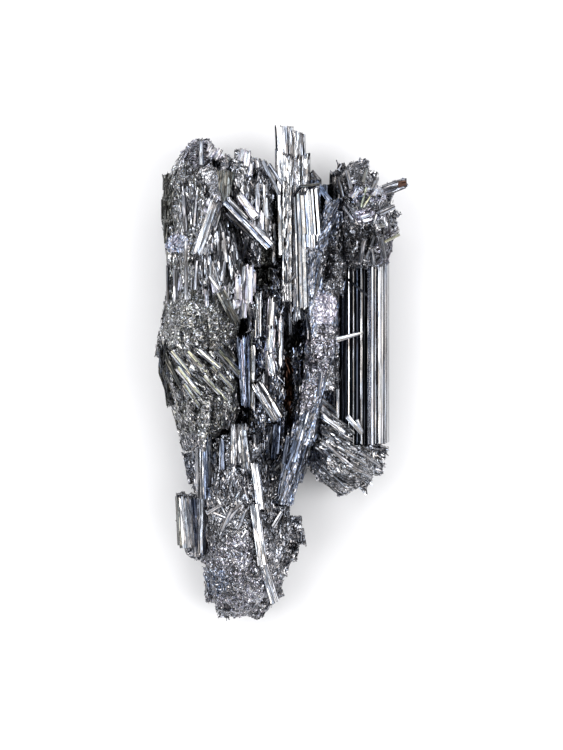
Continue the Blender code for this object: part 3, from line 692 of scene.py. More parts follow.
    def piece(self, finish):
        """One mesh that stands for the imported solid."""
        low, high = (np.array(corner) / MM for corner in CAD_BOX)
        points = np.clip(np.concatenate(self.points), low - (PROUD, PROUD, 0), high + PROUD)
        loops, sizes = np.concatenate(self.loops), np.concatenate(self.sizes)
        shades = np.concatenate(self.shades)
        mesh = bpy.data.meshes.new(self.node + "_crystals")
        mesh.vertices.add(len(points))
        mesh.vertices.foreach_set("co", (points * MM).ravel())
        mesh.loops.add(len(loops))
        mesh.loops.foreach_set("vertex_index", loops)
        mesh.polygons.add(len(sizes))
        mesh.polygons.foreach_set("loop_start", np.cumsum(sizes) - sizes)
        mesh.update(calc_edges=True)
        mesh.shade_flat()
        shades = shades.astype(np.float32)
        mesh.attributes.new("shade", "FLOAT_COLOR", "FACE").data.foreach_set("color", shades.ravel())
        lies = np.concatenate(self.lies).astype(np.float32)
        mesh.attributes.new("lie", "FLOAT_VECTOR", "CORNER").data.foreach_set("vector", lies.ravel())
        mess = np.concatenate(self.mess).astype(np.float32)
        mesh.attributes.new("mess", "FLOAT", "FACE").data.foreach_set("value", mess)
        mesh.materials.append(finish)
        made = bpy.data.objects.new(self.node + "_crystals", mesh)
        bpy.context.scene.collection.objects.link(made)
        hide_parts(self.node)
        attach(made, "root")
        print(f"{made.name}: {int((sizes - 2).sum())} triangles")
        return made


# ---- free-standing prisms -----------------------------------------------------------------------


class Maker:
    """What the operators of the growths have in common."""

    bl_options = {"REGISTER", "UNDO"}
    patches = ()

    def execute(self, context):
        roughness = getattr(context.scene.stibnite_lustre, self.slot)
        growth = Growth(self.node, self.seed, self.patches)
        self.grow(growth)
        growth.piece(mineral(self.node + "_mineral", roughness))
        return {"FINISHED"}


# looks that patches share: deep slots painted near black as shade, shallower ones painted dark as shade, a
# finely lined face
DEEP_SHADE = {"tone": (0.01, 0.06), "ground": (0.01, 0.06), "tints": "olive dark", "cover": 1.0}
HOLLOW_SHADE = {"tone": (0.03, 0.18), "ground": (0.05, 0.14), "tints": "olive", "cover": 1.0}
LINED = {
    "mess": 0.05, "width": 0.3, "tone": (0.08, 0.6), "ground": (0.5, 0.8), "tints": "blue steel",
    "rough": 0.85, "cover": 0.5,
}

# outline of a prism's upper side, as (place across, height)
BROAD_CREST = ((-1.0, 0.2), (-0.92, 0.72), (-0.3, 0.95), (0.3, 1.0), (0.92, 0.8), (1.0, 0.2))
FRONT_CREST = ((-1.0, -0.1), (-0.98, 0.5), (-0.9, 0.8), (0.0, 0.94), (0.3, 0.96), (0.9, 0.84), (1.0, 0.1))
RIDGE_CREST = (
    (-1.0, -0.2), (-0.97, 0.54), (-0.4, 0.55), (0.1, 0.62), (0.2, 1.0), (0.34, 0.98), (0.42, 0.84),
    (0.65, 0.74), (0.9, 0.5), (1.0, 0.0),
)
FLAT_CREST = ((-1.0, 0.3), (-0.92, 0.9), (0.0, 1.0), (0.92, 0.9), (1.0, 0.3))

# bands of facets across a prism, as (end, pitch, tone, tint, share of groove); white bands are painted
# highlight and dark bands painted shade
SPEAR_TOP = (
    (-0.72, 0.12, 0.2, "dark", 0.4), (-0.05, 0.22, 1.0, "white", 0.08), (0.3, 0.13, 0.75, "steel", 0.3),
    (1.0, 0.16, 0.95, "white", 0.2),
)
SPEAR_BODY = (
    (-0.9, 0.05, 0.6, "steel", 0.2), (-0.2, 0.07, 0.95, "white", 0.3), (0.1, 0.07, 0.85, "steel", 0.3),
    (0.45, 0.07, 0.95, "white", 0.3), (0.9, 0.09, 1.0, "white", 0.2), (1.0, 0.05, 0.4, "dark", 0.3),
)
SPEAR_SIDE = (
    (-0.9, 0.08, 0.6, "steel", 0.2), (0.1, 0.15, 1.0, "white", 0.2), (0.5, 0.12, 0.85, "steel", 0.25),
    (1.0, 0.14, 0.95, "white", 0.2),
)
BLUE_BANDS = (
    (-0.8, 0.1, 0.35, "blue", 0.3), (-0.3, 0.1, 0.7, "blue", 0.2), (0.0, 0.1, 0.75, "lilac", 0.2),
    (0.7, 0.1, 0.65, "blue", 0.2), (0.85, 0.1, 0.3, "dark", 0.3), (1.0, 0.12, 0.6, "straw", 0.3),
)
LATH_BANDS = (
    (-0.75, 0.2, 0.6, "steel", 0.3), (-0.2, 0.5, 1.0, "white", 0.16), (0.4, 0.5, 1.0, "white", 0.2),
    (1.0, 0.4, 0.9, "steel", 0.25),
)
STUB_BANDS = (
    (-0.7, 0.12, 0.45, "olive", 0.3), (-0.1, 0.16, 0.9, "white", 0.2), (0.3, 0.12, 0.5, "steel", 0.3),
    (1.0, 0.14, 0.8, "blue", 0.25),
)
COLUMN_BANDS = (
    (-0.7, 0.1, 0.5, "steel", 0.3), (-0.2, 0.14, 0.95, "white", 0.3), (0.4, 0.12, 0.85, "blue", 0.25),
    (1.0, 0.14, 0.95, "white", 0.3),
)
CROSS_BANDS = (
    (-0.75, 0.2, 0.35, "dark", 0.1), (-0.5, 0.22, 1.0, "white", 0.1), (-0.15, 0.3, 0.5, "blue", 0.2),
    (0.1, 0.2, 0.06, "dark", 0.1), (0.45, 0.16, 0.45, "steel", 0.2), (0.8, 0.3, 1.0, "white", 0.1),
    (1.0, 0.2, 0.4, "steel", 0.1),
)
BRIGHT_BANDS = (
    (-0.6, 0.2, 0.6, "steel", 0.3), (0.6, 0.3, 1.0, "white", 0.2), (1.0, 0.2, 0.75, "blue", 0.3),
)
PALE_BANDS = (
    (-0.5, 0.25, 0.9, "lilac", 0.14), (0.5, 0.3, 1.0, "white", 0.1), (1.0, 0.25, 0.9, "lilac", 0.14),
)
STREAK_BANDS = (
    (0.0, 0.18, 0.95, "white", 0.3), (0.5, 0.16, 0.6, "steel", 0.3), (1.0, 0.18, 1.0, "white", 0.3),
)
FAN_BANDS = ((1.0, 0.1, 0.5, "olive", 0.2),)
FEATHER_BANDS = (
    (-0.4, 0.22, 0.75, "steel", 0.35), (0.0, 0.24, 1.0, "straw", 0.3), (0.4, 0.2, 0.35, "olive", 0.3),
    (1.0, 0.22, 0.8, "steel", 0.35),
)
FRONT_BANDS = (
    (-0.8, 0.16, 0.9, "white", 0.3), (-0.65, 0.1, 0.12, "dark", 0.6), (-0.2, 0.24, 1.0, "white", 0.3),
    (0.1, 0.2, 0.65, "blue", 0.35), (0.3, 0.22, 1.0, "white", 0.3), (0.5, 0.18, 0.6, "steel", 0.4),
    (0.62, 0.1, 0.12, "dark", 0.6), (1.0, 0.18, 0.95, "white", 0.3),
)
RIDGE_BANDS = (
    (-0.93, 0.05, 0.8, "white", 0.3), (-0.62, 0.08, 0.12, "blue", 0.4), (-0.57, 0.05, 0.95, "white", 0.3),
    (-0.4, 0.07, 0.13, "blue", 0.5), (-0.35, 0.04, 0.9, "white", 0.3), (-0.12, 0.06, 0.14, "blue", 0.5),
    (-0.07, 0.04, 0.8, "white", 0.3), (0.14, 0.06, 0.1, "dark", 0.5), (0.38, 0.12, 1.0, "white", 0.06),
    (0.43, 0.05, 0.15, "dark", 0.5), (0.52, 0.08, 1.0, "white", 0.1), (1.0, 0.06, 0.85, "white", 0.28),
)


class STIBNITE_OT_centre_spear(Maker, bpy.types.Operator):
    """Grow the tall spear and the lower prisms beside it"""

    bl_idname = "stibnite.centre_spear"
    bl_label = "Centre spear"
    node = "centre_spear"
    slot = "bright_facets"
    seed = 11

    def grow(self, growth):
        growth.prism((3.0, 14, 8), (2.2, 49.5, 13), 5.0, 6.0, 35, stripes=30, tone=(0.05, 0.6), slope=0.9)
        body = growth.ribs(BROAD_CREST, SPEAR_BODY)
        growth.prism(
            (3.0, 12, 14.6), (2.9, 47.4, 17.6), 6.7, 7.0, profile=body, broken=0.7, grain=(0.2, 1.6),
            ragged=0.9,
        )
        top = growth.ribs(BROAD_CREST, SPEAR_TOP)
        growth.prism(
            (0.9, 42.0, 16.8), (0.4, 53.9, 17.2), 4.2, 6.4, 4, profile=top, broken=0.4, slope=-0.3, taper=1,
        )
        side = growth.ribs(BROAD_CREST, SPEAR_SIDE)
        growth.prism(
            (3.9, 40, 16.8), (3.6, 52.4, 17.4), 3.0, 6.0, profile=side, broken=0.8, slope=-0.4, ragged=0.8,
        )
        growth.prism(
            (-0.6, 26, 17), (-1.0, 48.6, 19.2), 1.4, 2.0, stripes=10, tone=(0.1, 1.0), tints="white steel",
        )
        growth.lay(-0.1, 48.4, 1.2, 47.7, 0.7, 0.9, "white", lift=0.8)


class STIBNITE_OT_front_prism(Maker, bpy.types.Operator):
    """Grow the broken prism before the spear and the crystals beside its top, painted dark as shade"""

    bl_idname = "stibnite.front_prism"
    bl_label = "Front prism"
    node = "front_prism"
    slot = "bright_facets"
    seed = 12

    def grow(self, growth):
        front = {"profile": growth.ribs(FRONT_CREST, FRONT_BANDS), "cut": 6}
        upper = {"slope": 0.7, "ragged": 0.7, "broken": 0.3, **front}
        lower = {"slope": 0.3, "ragged": 1.2, "broken": 0.4, **front}
        growth.prism((5.8, 30.4, 20.6), (5.2, 39.4, 21.4), 6.4, 6.6, 4, **upper)
        growth.prism((6.1, 14.5, 18.4), (5.6, 31.4, 20.6), 6.4, 6.6, 4, **lower)
        # most of the crystals below are painted dark as shade
        growth.prism(
            (6.8, 29, 16), (6.7, 42.4, 17.6), 3.4, 4.4, 45, stripes=12, tone=(0.05, 0.3), tints="dark blue",
            taper=0.9, point=2.2, ragged=0.1,
        )
        growth.prism(
            (9.8, 22, 14), (9.5, 41.0, 17), 3.0, 4.2, 30, stripes=14, tone=(0.05, 0.4), tints="dark steel",
            slope=0.8,
        )
        growth.prism(
            (7.2, 41.6, 18.6), (10.4, 37.2, 20.6), 1.6, 1.8, 20, stripes=8, tone=(0.3, 0.8), tints="blue",
        )
        growth.prism(
            (11.0, 24, 13), (11.6, 43.6, 14), 2.4, 4.0, 15, stripes=14, tone=(0.05, 0.5), slope=-0.7,
        )
        growth.prism(
            (12.2, 26, 11), (12.9, 41.2, 12), 2.8, 6.0, -10, stripes=16, tone=(0.05, 0.4), slope=0.6,
        )
        growth.prism(
            (2.2, 38.2, 24.6), (4.0, 40.4, 24.9), 0.9, 0.9, 20, stripes=3, tone=(0.02, 0.15), tints="dark",
        )
        growth.prism(
            (3.8, 40.3, 24.6), (8.2, 40.9, 24.3), 0.9, 1.0, 20, stripes=3, tone=(0.02, 0.3),
            tints="dark olive",
        )


class STIBNITE_OT_right_prism(Maker, bpy.types.Operator):
    """Grow the big prism: a flat painted dark as a reflection, a ridge painted bright as a highlight, and
    finely ribbed flats
    """

    bl_idname = "stibnite.right_prism"
    bl_label = "Right prism"
    node = "right_prism"
    slot = "blued_grey"
    seed = 13

    def grow(self, growth):
        faces = growth.ribs(RIDGE_CREST, RIDGE_BANDS)
        growth.prism(
            (17.8, -15.6, 14), (17.8, 33, 14), 11.4, 14.0, profile=faces, power=1.0, taper=1.0, slope=-0.8,
            cut=8, tone=(0.1, 0.6), broken=0.4, grain=(0.25, 7.0),
        )
        side = growth.ribs(FLAT_CREST, STREAK_BANDS)
        growth.prism((12.9, -14.6, 14.6), (12.7, 0.6, 15.0), 2.2, 5.6, profile=side, ragged=0.9, broken=0.5)
        # a thin crystal painted dark as shade
        growth.lay(14.2, 20.7, 18.8, 16.9, 0.6, 0.15, "dark", lift=1.0)


class STIBNITE_OT_blue_prism(Maker, bpy.types.Operator):
    """Grow the short bluish prism on the inner edge of the left bundle"""

    bl_idname = "stibnite.blue_prism"
    bl_label = "Blue prism"
    node = "blue_prism"
    slot = "blued_grey"
    seed = 14

    def grow(self, growth):
        faces = growth.ribs(BROAD_CREST, BLUE_BANDS)
        growth.prism(
            (-7.7, -6.8, 18.6), (-8.1, 8.6, 21.4), 2.4, 7, 4, profile=faces, slope=0.8, ragged=0.8,
            taper=1.6, broken=0.5,
        )
        growth.prism(
            (-6.8, -7.2, 17.6), (-6.7, 6.6, 20.6), 1.7, 6, -8, stripes=10, tone=(0.2, 1.0),
            tints="blue white",
        )


class STIBNITE_OT_cross_lath(Maker, bpy.types.Operator):
    """Grow the lath that lies slantwise over the upper middle"""

    bl_idname = "stibnite.cross_lath"
    bl_label = "Cross lath"
    node = "cross_lath"
    slot = "bright_facets"
    seed = 15

    def grow(self, growth):
        faces = growth.ribs(BROAD_CREST, CROSS_BANDS)
        growth.prism((-2.9, 27.6, 23.6), (-12.2, 37.2, 26.4), 2.5, 2.4, profile=faces, ragged=0.4)
        growth.prism(
            (-6.6, 29.6, 23.4), (-11.9, 34.6, 25.0), 1.7, 2.2, -10, stripes=8, tone=(0.2, 0.9),
            tints="blue steel",
        )


class STIBNITE_OT_lower_lath(Maker, bpy.types.Operator):
    """Grow the broken lath that lies down the trunk"""

    bl_idname = "stibnite.lower_lath"
    bl_label = "Lower lath"
    node = "lower_lath"
    slot = "bright_facets"
    seed = 16

    def grow(self, growth):
        faces = growth.ribs(BROAD_CREST, LATH_BANDS)
        growth.prisms(
            ((-4.7, -29.6, 23.6), (-6.1, -19.6, 22.8), 2.1, 2.8),
            ((-4.4, -41.6, 23.0), (-6.2, -28.2, 24.4), 2.4, 2.6),
            ((-1.9, -49.8, 17.8), (-4.6, -40.2, 23.0), 2.1, 2.4),
            profile=faces, ragged=0.4,
        )


class STIBNITE_OT_foot_stub(Maker, bpy.types.Operator):
    """Grow the short stub at the trunk's left side"""

    bl_idname = "stibnite.foot_stub"
    bl_label = "Foot stub"
    node = "foot_stub"
    slot = "lead_grey"
    seed = 17
    patches = (
        Patch(-21.2, -32.3, 5, 9, lean=2, mess=0.12, length=2.2, width=0.36, grain=(0.23, 2.4),
              tone=(0.1, 1.0), tints="steel white"),
        Patch(-19.9, -40.0, 4, 4, mess=0.9, length=0.8, width=0.3, tone=(0.1, 0.9)),
    )

    def grow(self, growth):
        growth.ground()
        faces = growth.ribs(BROAD_CREST, STUB_BANDS)
        growth.prism((-20.2, -38.0, 10.2), (-21.0, -27.2, 11.0), 5.4, 9.4, profile=faces, slope=-0.4)
        growth.prism(
            (-19.4, -40.2, 10.2), (-19.2, -27.4, 12.2), 2.6, 6, -15, stripes=16, tone=(0.15, 0.7),
            tints="steel",
        )
        growth.prism(
            (-21.8, -37.6, 8.2), (-22.3, -26.9, 10.2), 2.2, 6, 20, stripes=12, tone=(0.15, 0.6),
            tints="olive steel",
        )
        growth.crust()


class STIBNITE_OT_diagonal_blade(Maker, bpy.types.Operator):
    """Grow the long blade that comes down from the crown across the middle"""

    bl_idname = "stibnite.diagonal_blade"
    bl_label = "Diagonal blade"
    node = "diagonal_blade"
    slot = "lead_grey"
    seed = 18
    patches = (
        Patch(3.9, -14.7, 30, 60, lean=16, length=3.0, grain=(0.2, 3.4), **LINED),
        Patch(10.0, 33.2, 3.0, 7.4, slant=10, lean=32, length=2.0, grain=(0.2, 2.6), **LINED),
        Patch(5.4, 16.1, 2.0, 7, slant=10, lean=14, length=2.0, grain=(0.2, 2.6), **LINED),
        Patch(8.7, 5.1, 3.4, 8, slant=10, mess=0.9, length=0.7, width=0.26, tone=(0.08, 0.9),
              ground=(0.45, 0.9), tints="lilac steel", cover=1.6),
        Patch(9.3, 13.9, 2.6, 4.5, mess=0.9, length=0.7, width=0.26, tone=(0.3, 0.9), ground=(0.8, 1.0),
              tints="lilac", rough=0.8),
        Patch(11.8, 24.4, 3.4, 8, slant=10, mess=0.8, length=0.9, width=0.28, tone=(0.04, 0.9),
              ground=(0.35, 0.8), cover=1.6),
        Patch(11.8, -0.4, 2.2, 6, lean=4, mess=0.5, length=1.2, width=0.28, tone=(0.05, 0.9),
              ground=(0.3, 0.8), cover=1.6),
        Patch(5.2, -5.5, 2.6, 4.0, lean=12, mess=0.6, length=0.9, width=0.28, tone=(0.08, 0.9),
              ground=(0.4, 0.9), tints="lilac steel", cover=1.6),
    )

    def grow(self, growth):
        growth.ground()
        growth.crust()
        needle = growth.ribs(BROAD_CREST, LATH_BANDS)
        growth.lay(12.0, 7.3, 17.5, 8.8, 1.2, lift=1.3, taper=0.4, turn=0, profile=needle, broken=0.1)
        growth.lay_all(
            (6.9, 16.1, 8.5, 23.1, 0.7, 0.5), (7.8, -5.1, 8.5, 0.2, 0.8, 0.4),
            (1.2, -21.3, 3.0, -14.7, 1.2, 0.4), (2.3, -19.6, 4.5, -11.2, 1.2, 0.5),
            (3.9, -14.7, 5.6, -8.6, 1.1, 0.4), (0.3, -20.0, 1.2, -13.9, 1.0, 0.45),
            (-0.3, -26.2, 0.8, -21.3, 1.0, 0.4),
            tint="blue steel", lift=0.2, fat=0.5, turn=0,
        )


class STIBNITE_OT_left_bundle(Maker, bpy.types.Operator):
    """Grow the broad left bundle: knob, long laths and feathered lower part"""

    bl_idname = "stibnite.left_bundle"
    bl_label = "Left bundle"
    node = "left_bundle"
    slot = "tarnished_grey"
    seed = 19
    patches = (
        Patch(-18.1, 16.1, 50, 90, length=1.5, width=0.3, grain=(0.18, 1.0), tone=(0.05, 0.95),
              ground=(0.85, 1.0), tints="steel steel olive"),
        Patch(-17.3, 49.1, 5.5, 4.5, mess=0.9, length=0.9, tone=(0.05, 0.85), tints="steel lilac",
              cover=1.6),
        Patch(-14.6, 48.4, 2.0, 1.5, mess=1, length=0.7, width=0.26, tone=(0.7, 1.0), ground=(1.0, 1.0),
              tints="lilac white", rough=0.35, cover=0.6),
        # a small spot painted near black as shade
        Patch(-14.6, 46.0, 1.3, 0.8, length=0.8, tone=(0.02, 0.2), ground=(0.03, 0.15), tints="dark"),
        Patch(-25.9, 38.1, 1.6, 10, mess=0.15, length=2.6, width=0.4, tone=(0.05, 0.35), ground=(0.2, 0.5),
              tints="olive", cover=1.6),
        Patch(-13.3, 42.5, 4.4, 3.8, mess=0.7, length=0.5, width=0.2, tone=(0.2, 0.6), ground=(0.55, 0.7),
              rough=0.8, cover=0.9),
        Patch(-15.9, 43.6, 3.0, 2.2, mess=0.8, length=0.8, width=0.26, tone=(0.15, 1.0), ground=(0.9, 1.0),
              tints="steel white"),
        Patch(-15.1, 37.0, 2.0, 2.2, mess=0.5, length=0.7, width=0.28, tone=(0.7, 1.0), ground=(1.0, 1.0),
              tints="white lilac", rough=0.35, cover=0.6),
        Patch(-16.8, 30.8, 1.6, 6.0, slant=25, lean=25, mess=0.06, length=2.6, grain=(0.2, 2.6),
              tone=(0.15, 1.0), ground=(0.95, 1.0), tints="white steel", rough=0.7, cover=1.0),
        Patch(-20.6, 36.3, 2.4, 6.0, lean=-4, mess=0.12, length=3.6, width=0.36, grain=(0.2, 2.0),
              tone=(0.08, 1.0), ground=(0.9, 1.0), tints="steel steel olive white", cover=1.4),
        Patch(-23.4, 28.6, 3.2, 2.2, lean=60, mess=0.15, width=0.6, tone=(0.25, 0.7),
              tints="blue lilac steel", rough=0.5, cover=1.0),
        Patch(-8.5, 18.7, 2.6, 4.6, slant=6, lean=6, length=1.4, width=0.5, grain=(0.26, 1.4),
              tone=(0.6, 1.0), ground=(1.0, 1.0), tints="white lilac", rough=0.45, cover=0.8),
        Patch(-12.7, 24.4, 5.6, 8.4, lean=4, mess=0.14, length=3.6, width=0.4, grain=(0.23, 2.2),
              tone=(0.08, 0.95), tints="steel steel white", cover=1.6),
        Patch(-18.1, 11.2, 9, 5.5, mess=0.8, length=0.7, width=0.26, tone=(0.05, 0.7), ground=(0.5, 0.9),
              tints="steel olive", cover=1.6),
        Patch(-17.7, 1.1, 9, 6.5, lean=138, mess=0.15, length=2.2, grain=(0.2, 1.8), tone=(0.05, 1.0),
              ground=(0.8, 1.0), tints="steel olive", cover=1.4),
        Patch(-26.1, -0.4, 1.7, 6.5, lean=4, mess=0.12, length=3.4, width=0.5, grain=(0.3, 3.0),
              tone=(0.03, 0.25), ground=(0.15, 0.4), tints="olive dark", cover=1.6),
        Patch(-19.2, -8.6, 6.5, 6.0, lean=150, length=1.5, width=0.32, grain=(0.19, 1.0), tone=(0.04, 0.8),
              ground=(0.8, 1.0), tints="steel olive"),
        Patch(-19.9, -18.7, 3.0, 6.5, mess=0.25, length=2.2, width=0.36, tone=(0.05, 0.8)),
        # a slot painted near black as shade, with the rust stain
        Patch(-12.9, -13.4, 1.0, 1.0, tone=(0.02, 0.1), ground=(0.01, 0.05), tints="rust", cover=0.5),
    )

    def grow(self, growth):
        growth.ground()
        growth.crust()
        wedge = (-12.9, 36.7, -12.7, 44.0, 1.5)
        growth.plates(FAN_BANDS, wedge, lift=1.3, taper=3.2, turn=-6, fat=0.3, broken=0.8)
        growth.plates(BRIGHT_BANDS, (-17.9, 45.5, -17.9, 50.8, 1.1), lift=0.6)
        growth.lay(-21.2, 16.1, -21.2, 28.8, 1.0, 0.85, "white steel", lift=0.7)
        pale = {"turn": 0, "profile": growth.ribs(FLAT_CREST, PALE_BANDS), "fat": 0.5, "ragged": 0.8}
        flakes = (
            (-10.0, 16.1, -9.8, 21.3, 1.6, 1.3), (-8.9, 14.7, -8.7, 23.5, 2.0, 1.6),
            (-7.6, 15.4, -7.2, 23.1, 2.0, 1.7), (-6.5, 17.8, -6.3, 21.8, 1.2, 1.4),
            (-8.7, 12.1, -8.5, 16.1, 1.6, 1.2), (-16.2, 47.3, -15.1, 49.1, 1.4, 0.7),
            (-14.8, 47.1, -13.8, 48.8, 1.4, 0.7), (-16.4, 48.6, -15.9, 49.9, 1.0, 0.6),
            (-15.7, 35.9, -15.1, 38.5, 1.5, 0.9), (-14.4, 35.4, -13.8, 37.6, 1.2, 0.9),
            (-14.8, 17.4, -15.5, 20.9, 1.2, 0.6), (-16.6, 14.7, -16.8, 18.7, 0.9, 0.6),
            (-22.6, 18.3, -22.3, 21.3, 1.0, 0.5), (-12.4, 16.1, -12.9, 19.1, 1.0, 0.6),
        )
        for *place, lift in flakes:
            growth.lay(*place, lift=lift, **pale)
        streaked = {"turn": 0, "profile": growth.ribs(FLAT_CREST, STREAK_BANDS), "fat": 0.5, "ragged": 0.9}
        growth.lay(-18.6, 26.2, -15.1, 37.2, 2.1, lift=0.7, **streaked)
        growth.lay(-17.1, 25.7, -14.0, 35.4, 1.5, lift=0.5, **streaked)
        growth.lay_all(
            (-15.9, 21.3, -13.3, 16.9, 1.2, 0.95, "white"),
            (-13.8, 18.3, -10.4, 11.2, 2.4, 0.5, "steel olive"),
            lift=0.6,
        )
        growth.plates(
            FEATHER_BANDS,
            (-20.8, 4.6, -16.8, 0.2, 1.5), (-18.6, 5.1, -14.2, 1.5, 1.4), (-14.2, 5.1, -9.1, -0.7, 1.9),
            (-24.3, 4.6, -20.4, -0.2, 1.3), (-23.0, 1.1, -18.4, -4.6, 1.5), (-17.3, -0.7, -12.4, -5.9, 1.4),
            (-15.5, 1.5, -11.1, -3.3, 1.2), (-21.7, -2.4, -18.1, -7.7, 1.2),
            lift=0.35, fat=0.5, ragged=0.8,
        )
        growth.lay(-25.4, 2.9, -22.6, -2.6, 1.3, 0.25, "olive", lift=0.4)
        growth.lay_all(
            (-14.0, 25.7, -14.0, 31.9, 1.1, 0.5), (-12.4, 24.4, -13.1, 31.0, 1.0, 0.75),
            (-9.8, 24.9, -10.9, 30.6, 1.2, 0.9), (-8.5, 25.7, -7.8, 29.7, 1.0, 0.8),
            (-15.5, 19.6, -16.2, 25.7, 1.2, 0.5), (-13.5, 20.0, -12.9, 24.4, 1.2, 0.7),
            (-11.3, 21.3, -11.8, 25.7, 1.0, 0.6), (-19.2, 18.3, -18.8, 24.4, 1.2, 0.4),
            (-23.4, 16.1, -23.6, 22.7, 1.4, 0.3), (-25.0, 16.1, -25.2, 23.5, 1.2, 0.3),
            (-19.5, 32.3, -18.8, 40.3, 1.0, 0.6), (-21.2, 31.0, -21.7, 38.9, 1.2, 0.5),
            tint="steel white", lift=0.4,
        )


class STIBNITE_OT_upper_columns(Maker, bpy.types.Operator):
    """Grow the broken columns between the left bundle and the spear"""

    bl_idname = "stibnite.upper_columns"
    bl_label = "Upper columns"
    node = "upper_columns"
    slot = "lead_grey"
    seed = 20
    patches = (
        Patch(-6.0, 35.9, 20, 40, lean=-4, mess=0.25, length=1.8, width=0.32, grain=(0.22, 1.8),
              tone=(0.08, 0.95)),
        Patch(-8.5, 46.9, 2.2, 3.4, mess=0.9, length=0.9, width=0.4, tone=(0.4, 1.0), ground=(0.9, 1.0),
              tints="white", cover=2.4),
        # a hollow and a narrow slot, both painted dark as shade
        Patch(-3.4, 25.5, 1.5, 3.6, **HOLLOW_SHADE),
        Patch(-1.4, 32.6, 1.0, 8, mess=0.2, length=2.0, width=0.3, tone=(0.01, 0.08), ground=(0.005, 0.03),
              tints="olive dark"),
    )

    def grow(self, growth):
        growth.ground()
        growth.crust()
        growth.lay_all(
            (-4.3, 46.4, -0.8, 39.4, 1.2, 0.7, "steel white"), (-3.0, 45.8, -0.1, 41.4, 1.0, 0.55, "steel"),
            lift=0.8,
        )
        growth.lay_all(
            (-1.9, 24.4, -1.9, 32.6, 0.8, 0.9, "white"), (-5.4, 29.3, -5.6, 41.6, 1.4, 0.6, "steel white"),
            (-3.6, 29.3, -3.9, 41.1, 1.4, 0.75, "white steel"),
            lift=0.6,
        )
        pale = {"turn": 0, "profile": growth.ribs(FLAT_CREST, PALE_BANDS), "fat": 0.5, "ragged": 0.6}
        growth.lay(-5.8, 34.1, -9.3, 38.7, 2.2, lift=0.6, **pale)
        growth.lay_all(
            (-9.3, 46.4, -8.7, 49.1, 1.3), (-8.0, 45.5, -7.6, 48.6, 1.5), (-7.2, 43.3, -6.9, 46.0, 1.2),
            (-5.4, 45.1, -5.8, 46.9, 1.0), (-4.5, 31.5, -4.5, 35.4, 1.0), (-6.3, 29.7, -6.3, 33.2, 0.9),
            (-7.8, 31.0, -8.0, 34.5, 1.0),
            lift=0.5, **pale,
        )
        growth.lay(-7.2, 36.7, -6.3, 38.1, 1.0, 0.95, "white", lift=1.0)


class STIBNITE_OT_centre_columns(Maker, bpy.types.Operator):
    """Grow the broken columns that stand in the hollow middle"""

    bl_idname = "stibnite.centre_columns"
    bl_label = "Centre columns"
    node = "centre_columns"
    slot = "blued_grey"
    seed = 21
    patches = (
        Patch(-3.2, -1.5, 20, 60, length=1.4, width=0.3, grain=(0.22, 1.6), tone=(0.1, 1.0),
              ground=(0.25, 0.9), tints="steel blue white"),
        # hollows and slots painted dark as shade; the slot at (1.4, -3.7) has the rust stain as well
        Patch(-4.1, 21.1, 2.0, 3.6, **HOLLOW_SHADE),
        Patch(1.9, 7.7, 2.0, 4.0, **DEEP_SHADE),
        Patch(-7.8, -7.7, 1.0, 4.2, tone=(0.01, 0.08), ground=(0.01, 0.06), tints="olive dark", cover=1),
        Patch(1.4, -3.7, 1.0, 7.0, tone=(0.03, 0.15), ground=(0.02, 0.10), tints="rust", cover=2),
        Patch(-3.4, -24.4, 1.6, 4.0, **DEEP_SHADE),
    )

    def grow(self, growth):
        growth.ground()
        growth.crust()
        pale = growth.ribs(BROAD_CREST, PALE_BANDS)
        ribbed = growth.ribs(FLAT_CREST, STREAK_BANDS)
        growth.prisms(
            ((-2.5, 0.2, 18.7), (-2.9, 4.6, 20.1), 2.0, 4.4, -6),
            ((-2.9, 3.8, 18.9), (-2.2, 10.2, 20.1), 2.4, 4.6, 7),
            ((-2.9, 8.8, 19.3), (-2.5, 16.4, 20.9), 2.0, 4.6, -6),
            profile=pale, ragged=0.9, broken=0.5,
        )
        growth.prism(
            (-0.7, 1.6, 18.1), (-0.5, 12.2, 19.7), 1.4, 4.6, -8, profile=pale, ragged=0.8, broken=0.6,
        )
        growth.prism(
            (-4.1, -4.6, 18.3), (-4.2, 0.2, 19.9), 1.1, 4.0, 4, profile=pale, ragged=0.8, broken=0.3,
        )
        growth.prism((-5.4, 8.6, 17.7), (-5.3, 18.0, 20.1), 1.6, 5.4, profile=ribbed, ragged=0.7)
        growth.prisms(
            ((-6.6, 8.4, 17.9), (-6.8, 16.2, 20.7), 1.3, 5.0, 20),
            ((-3.9, 14.6, 17.1), (-4.1, 18.6, 19.3), 1.6, 4.0, 20),
            ((-3.2, -4.0, 16.9), (-3.3, 5.6, 19.7), 1.5, 5.0),
            stripes=14, tone=(0.1, 0.9),
        )
        growth.prism(
            (-1.2, -9.6, 18.7), (-5.8, -2.0, 20.9), 3.0, 4.6, 6, profile=ribbed, ragged=0.7, broken=0.9,
        )
        growth.prism(
            (-3.0, -18.0, 15.9), (-2.4, -10.6, 18.9), 3.2, 5.4, -16, stripes=20, tone=(0.05, 0.6),
            tints="blue dark",
        )
        growth.prism(
            (-0.6, -17.0, 15.3), (-0.2, -9.0, 18.1), 2.0, 5.0, 20, stripes=16, tone=(0.05, 0.7),
            tints="blue steel",
        )
        growth.prism((2.0, 8.0, 14.3), (1.8, 16.0, 17.3), 2.2, 4.6, 25, stripes=16, tone=(0.05, 0.4))
        growth.prism((-5.6, -21.0, 16.3), (-5.9, -12.6, 19.7), 2.4, 5.0, 15, stripes=18, tone=(0.1, 0.8))
        growth.lay(-0.3, 17.8, 3.9, 23.1, 0.5, 0.9, "white", lift=2.0)


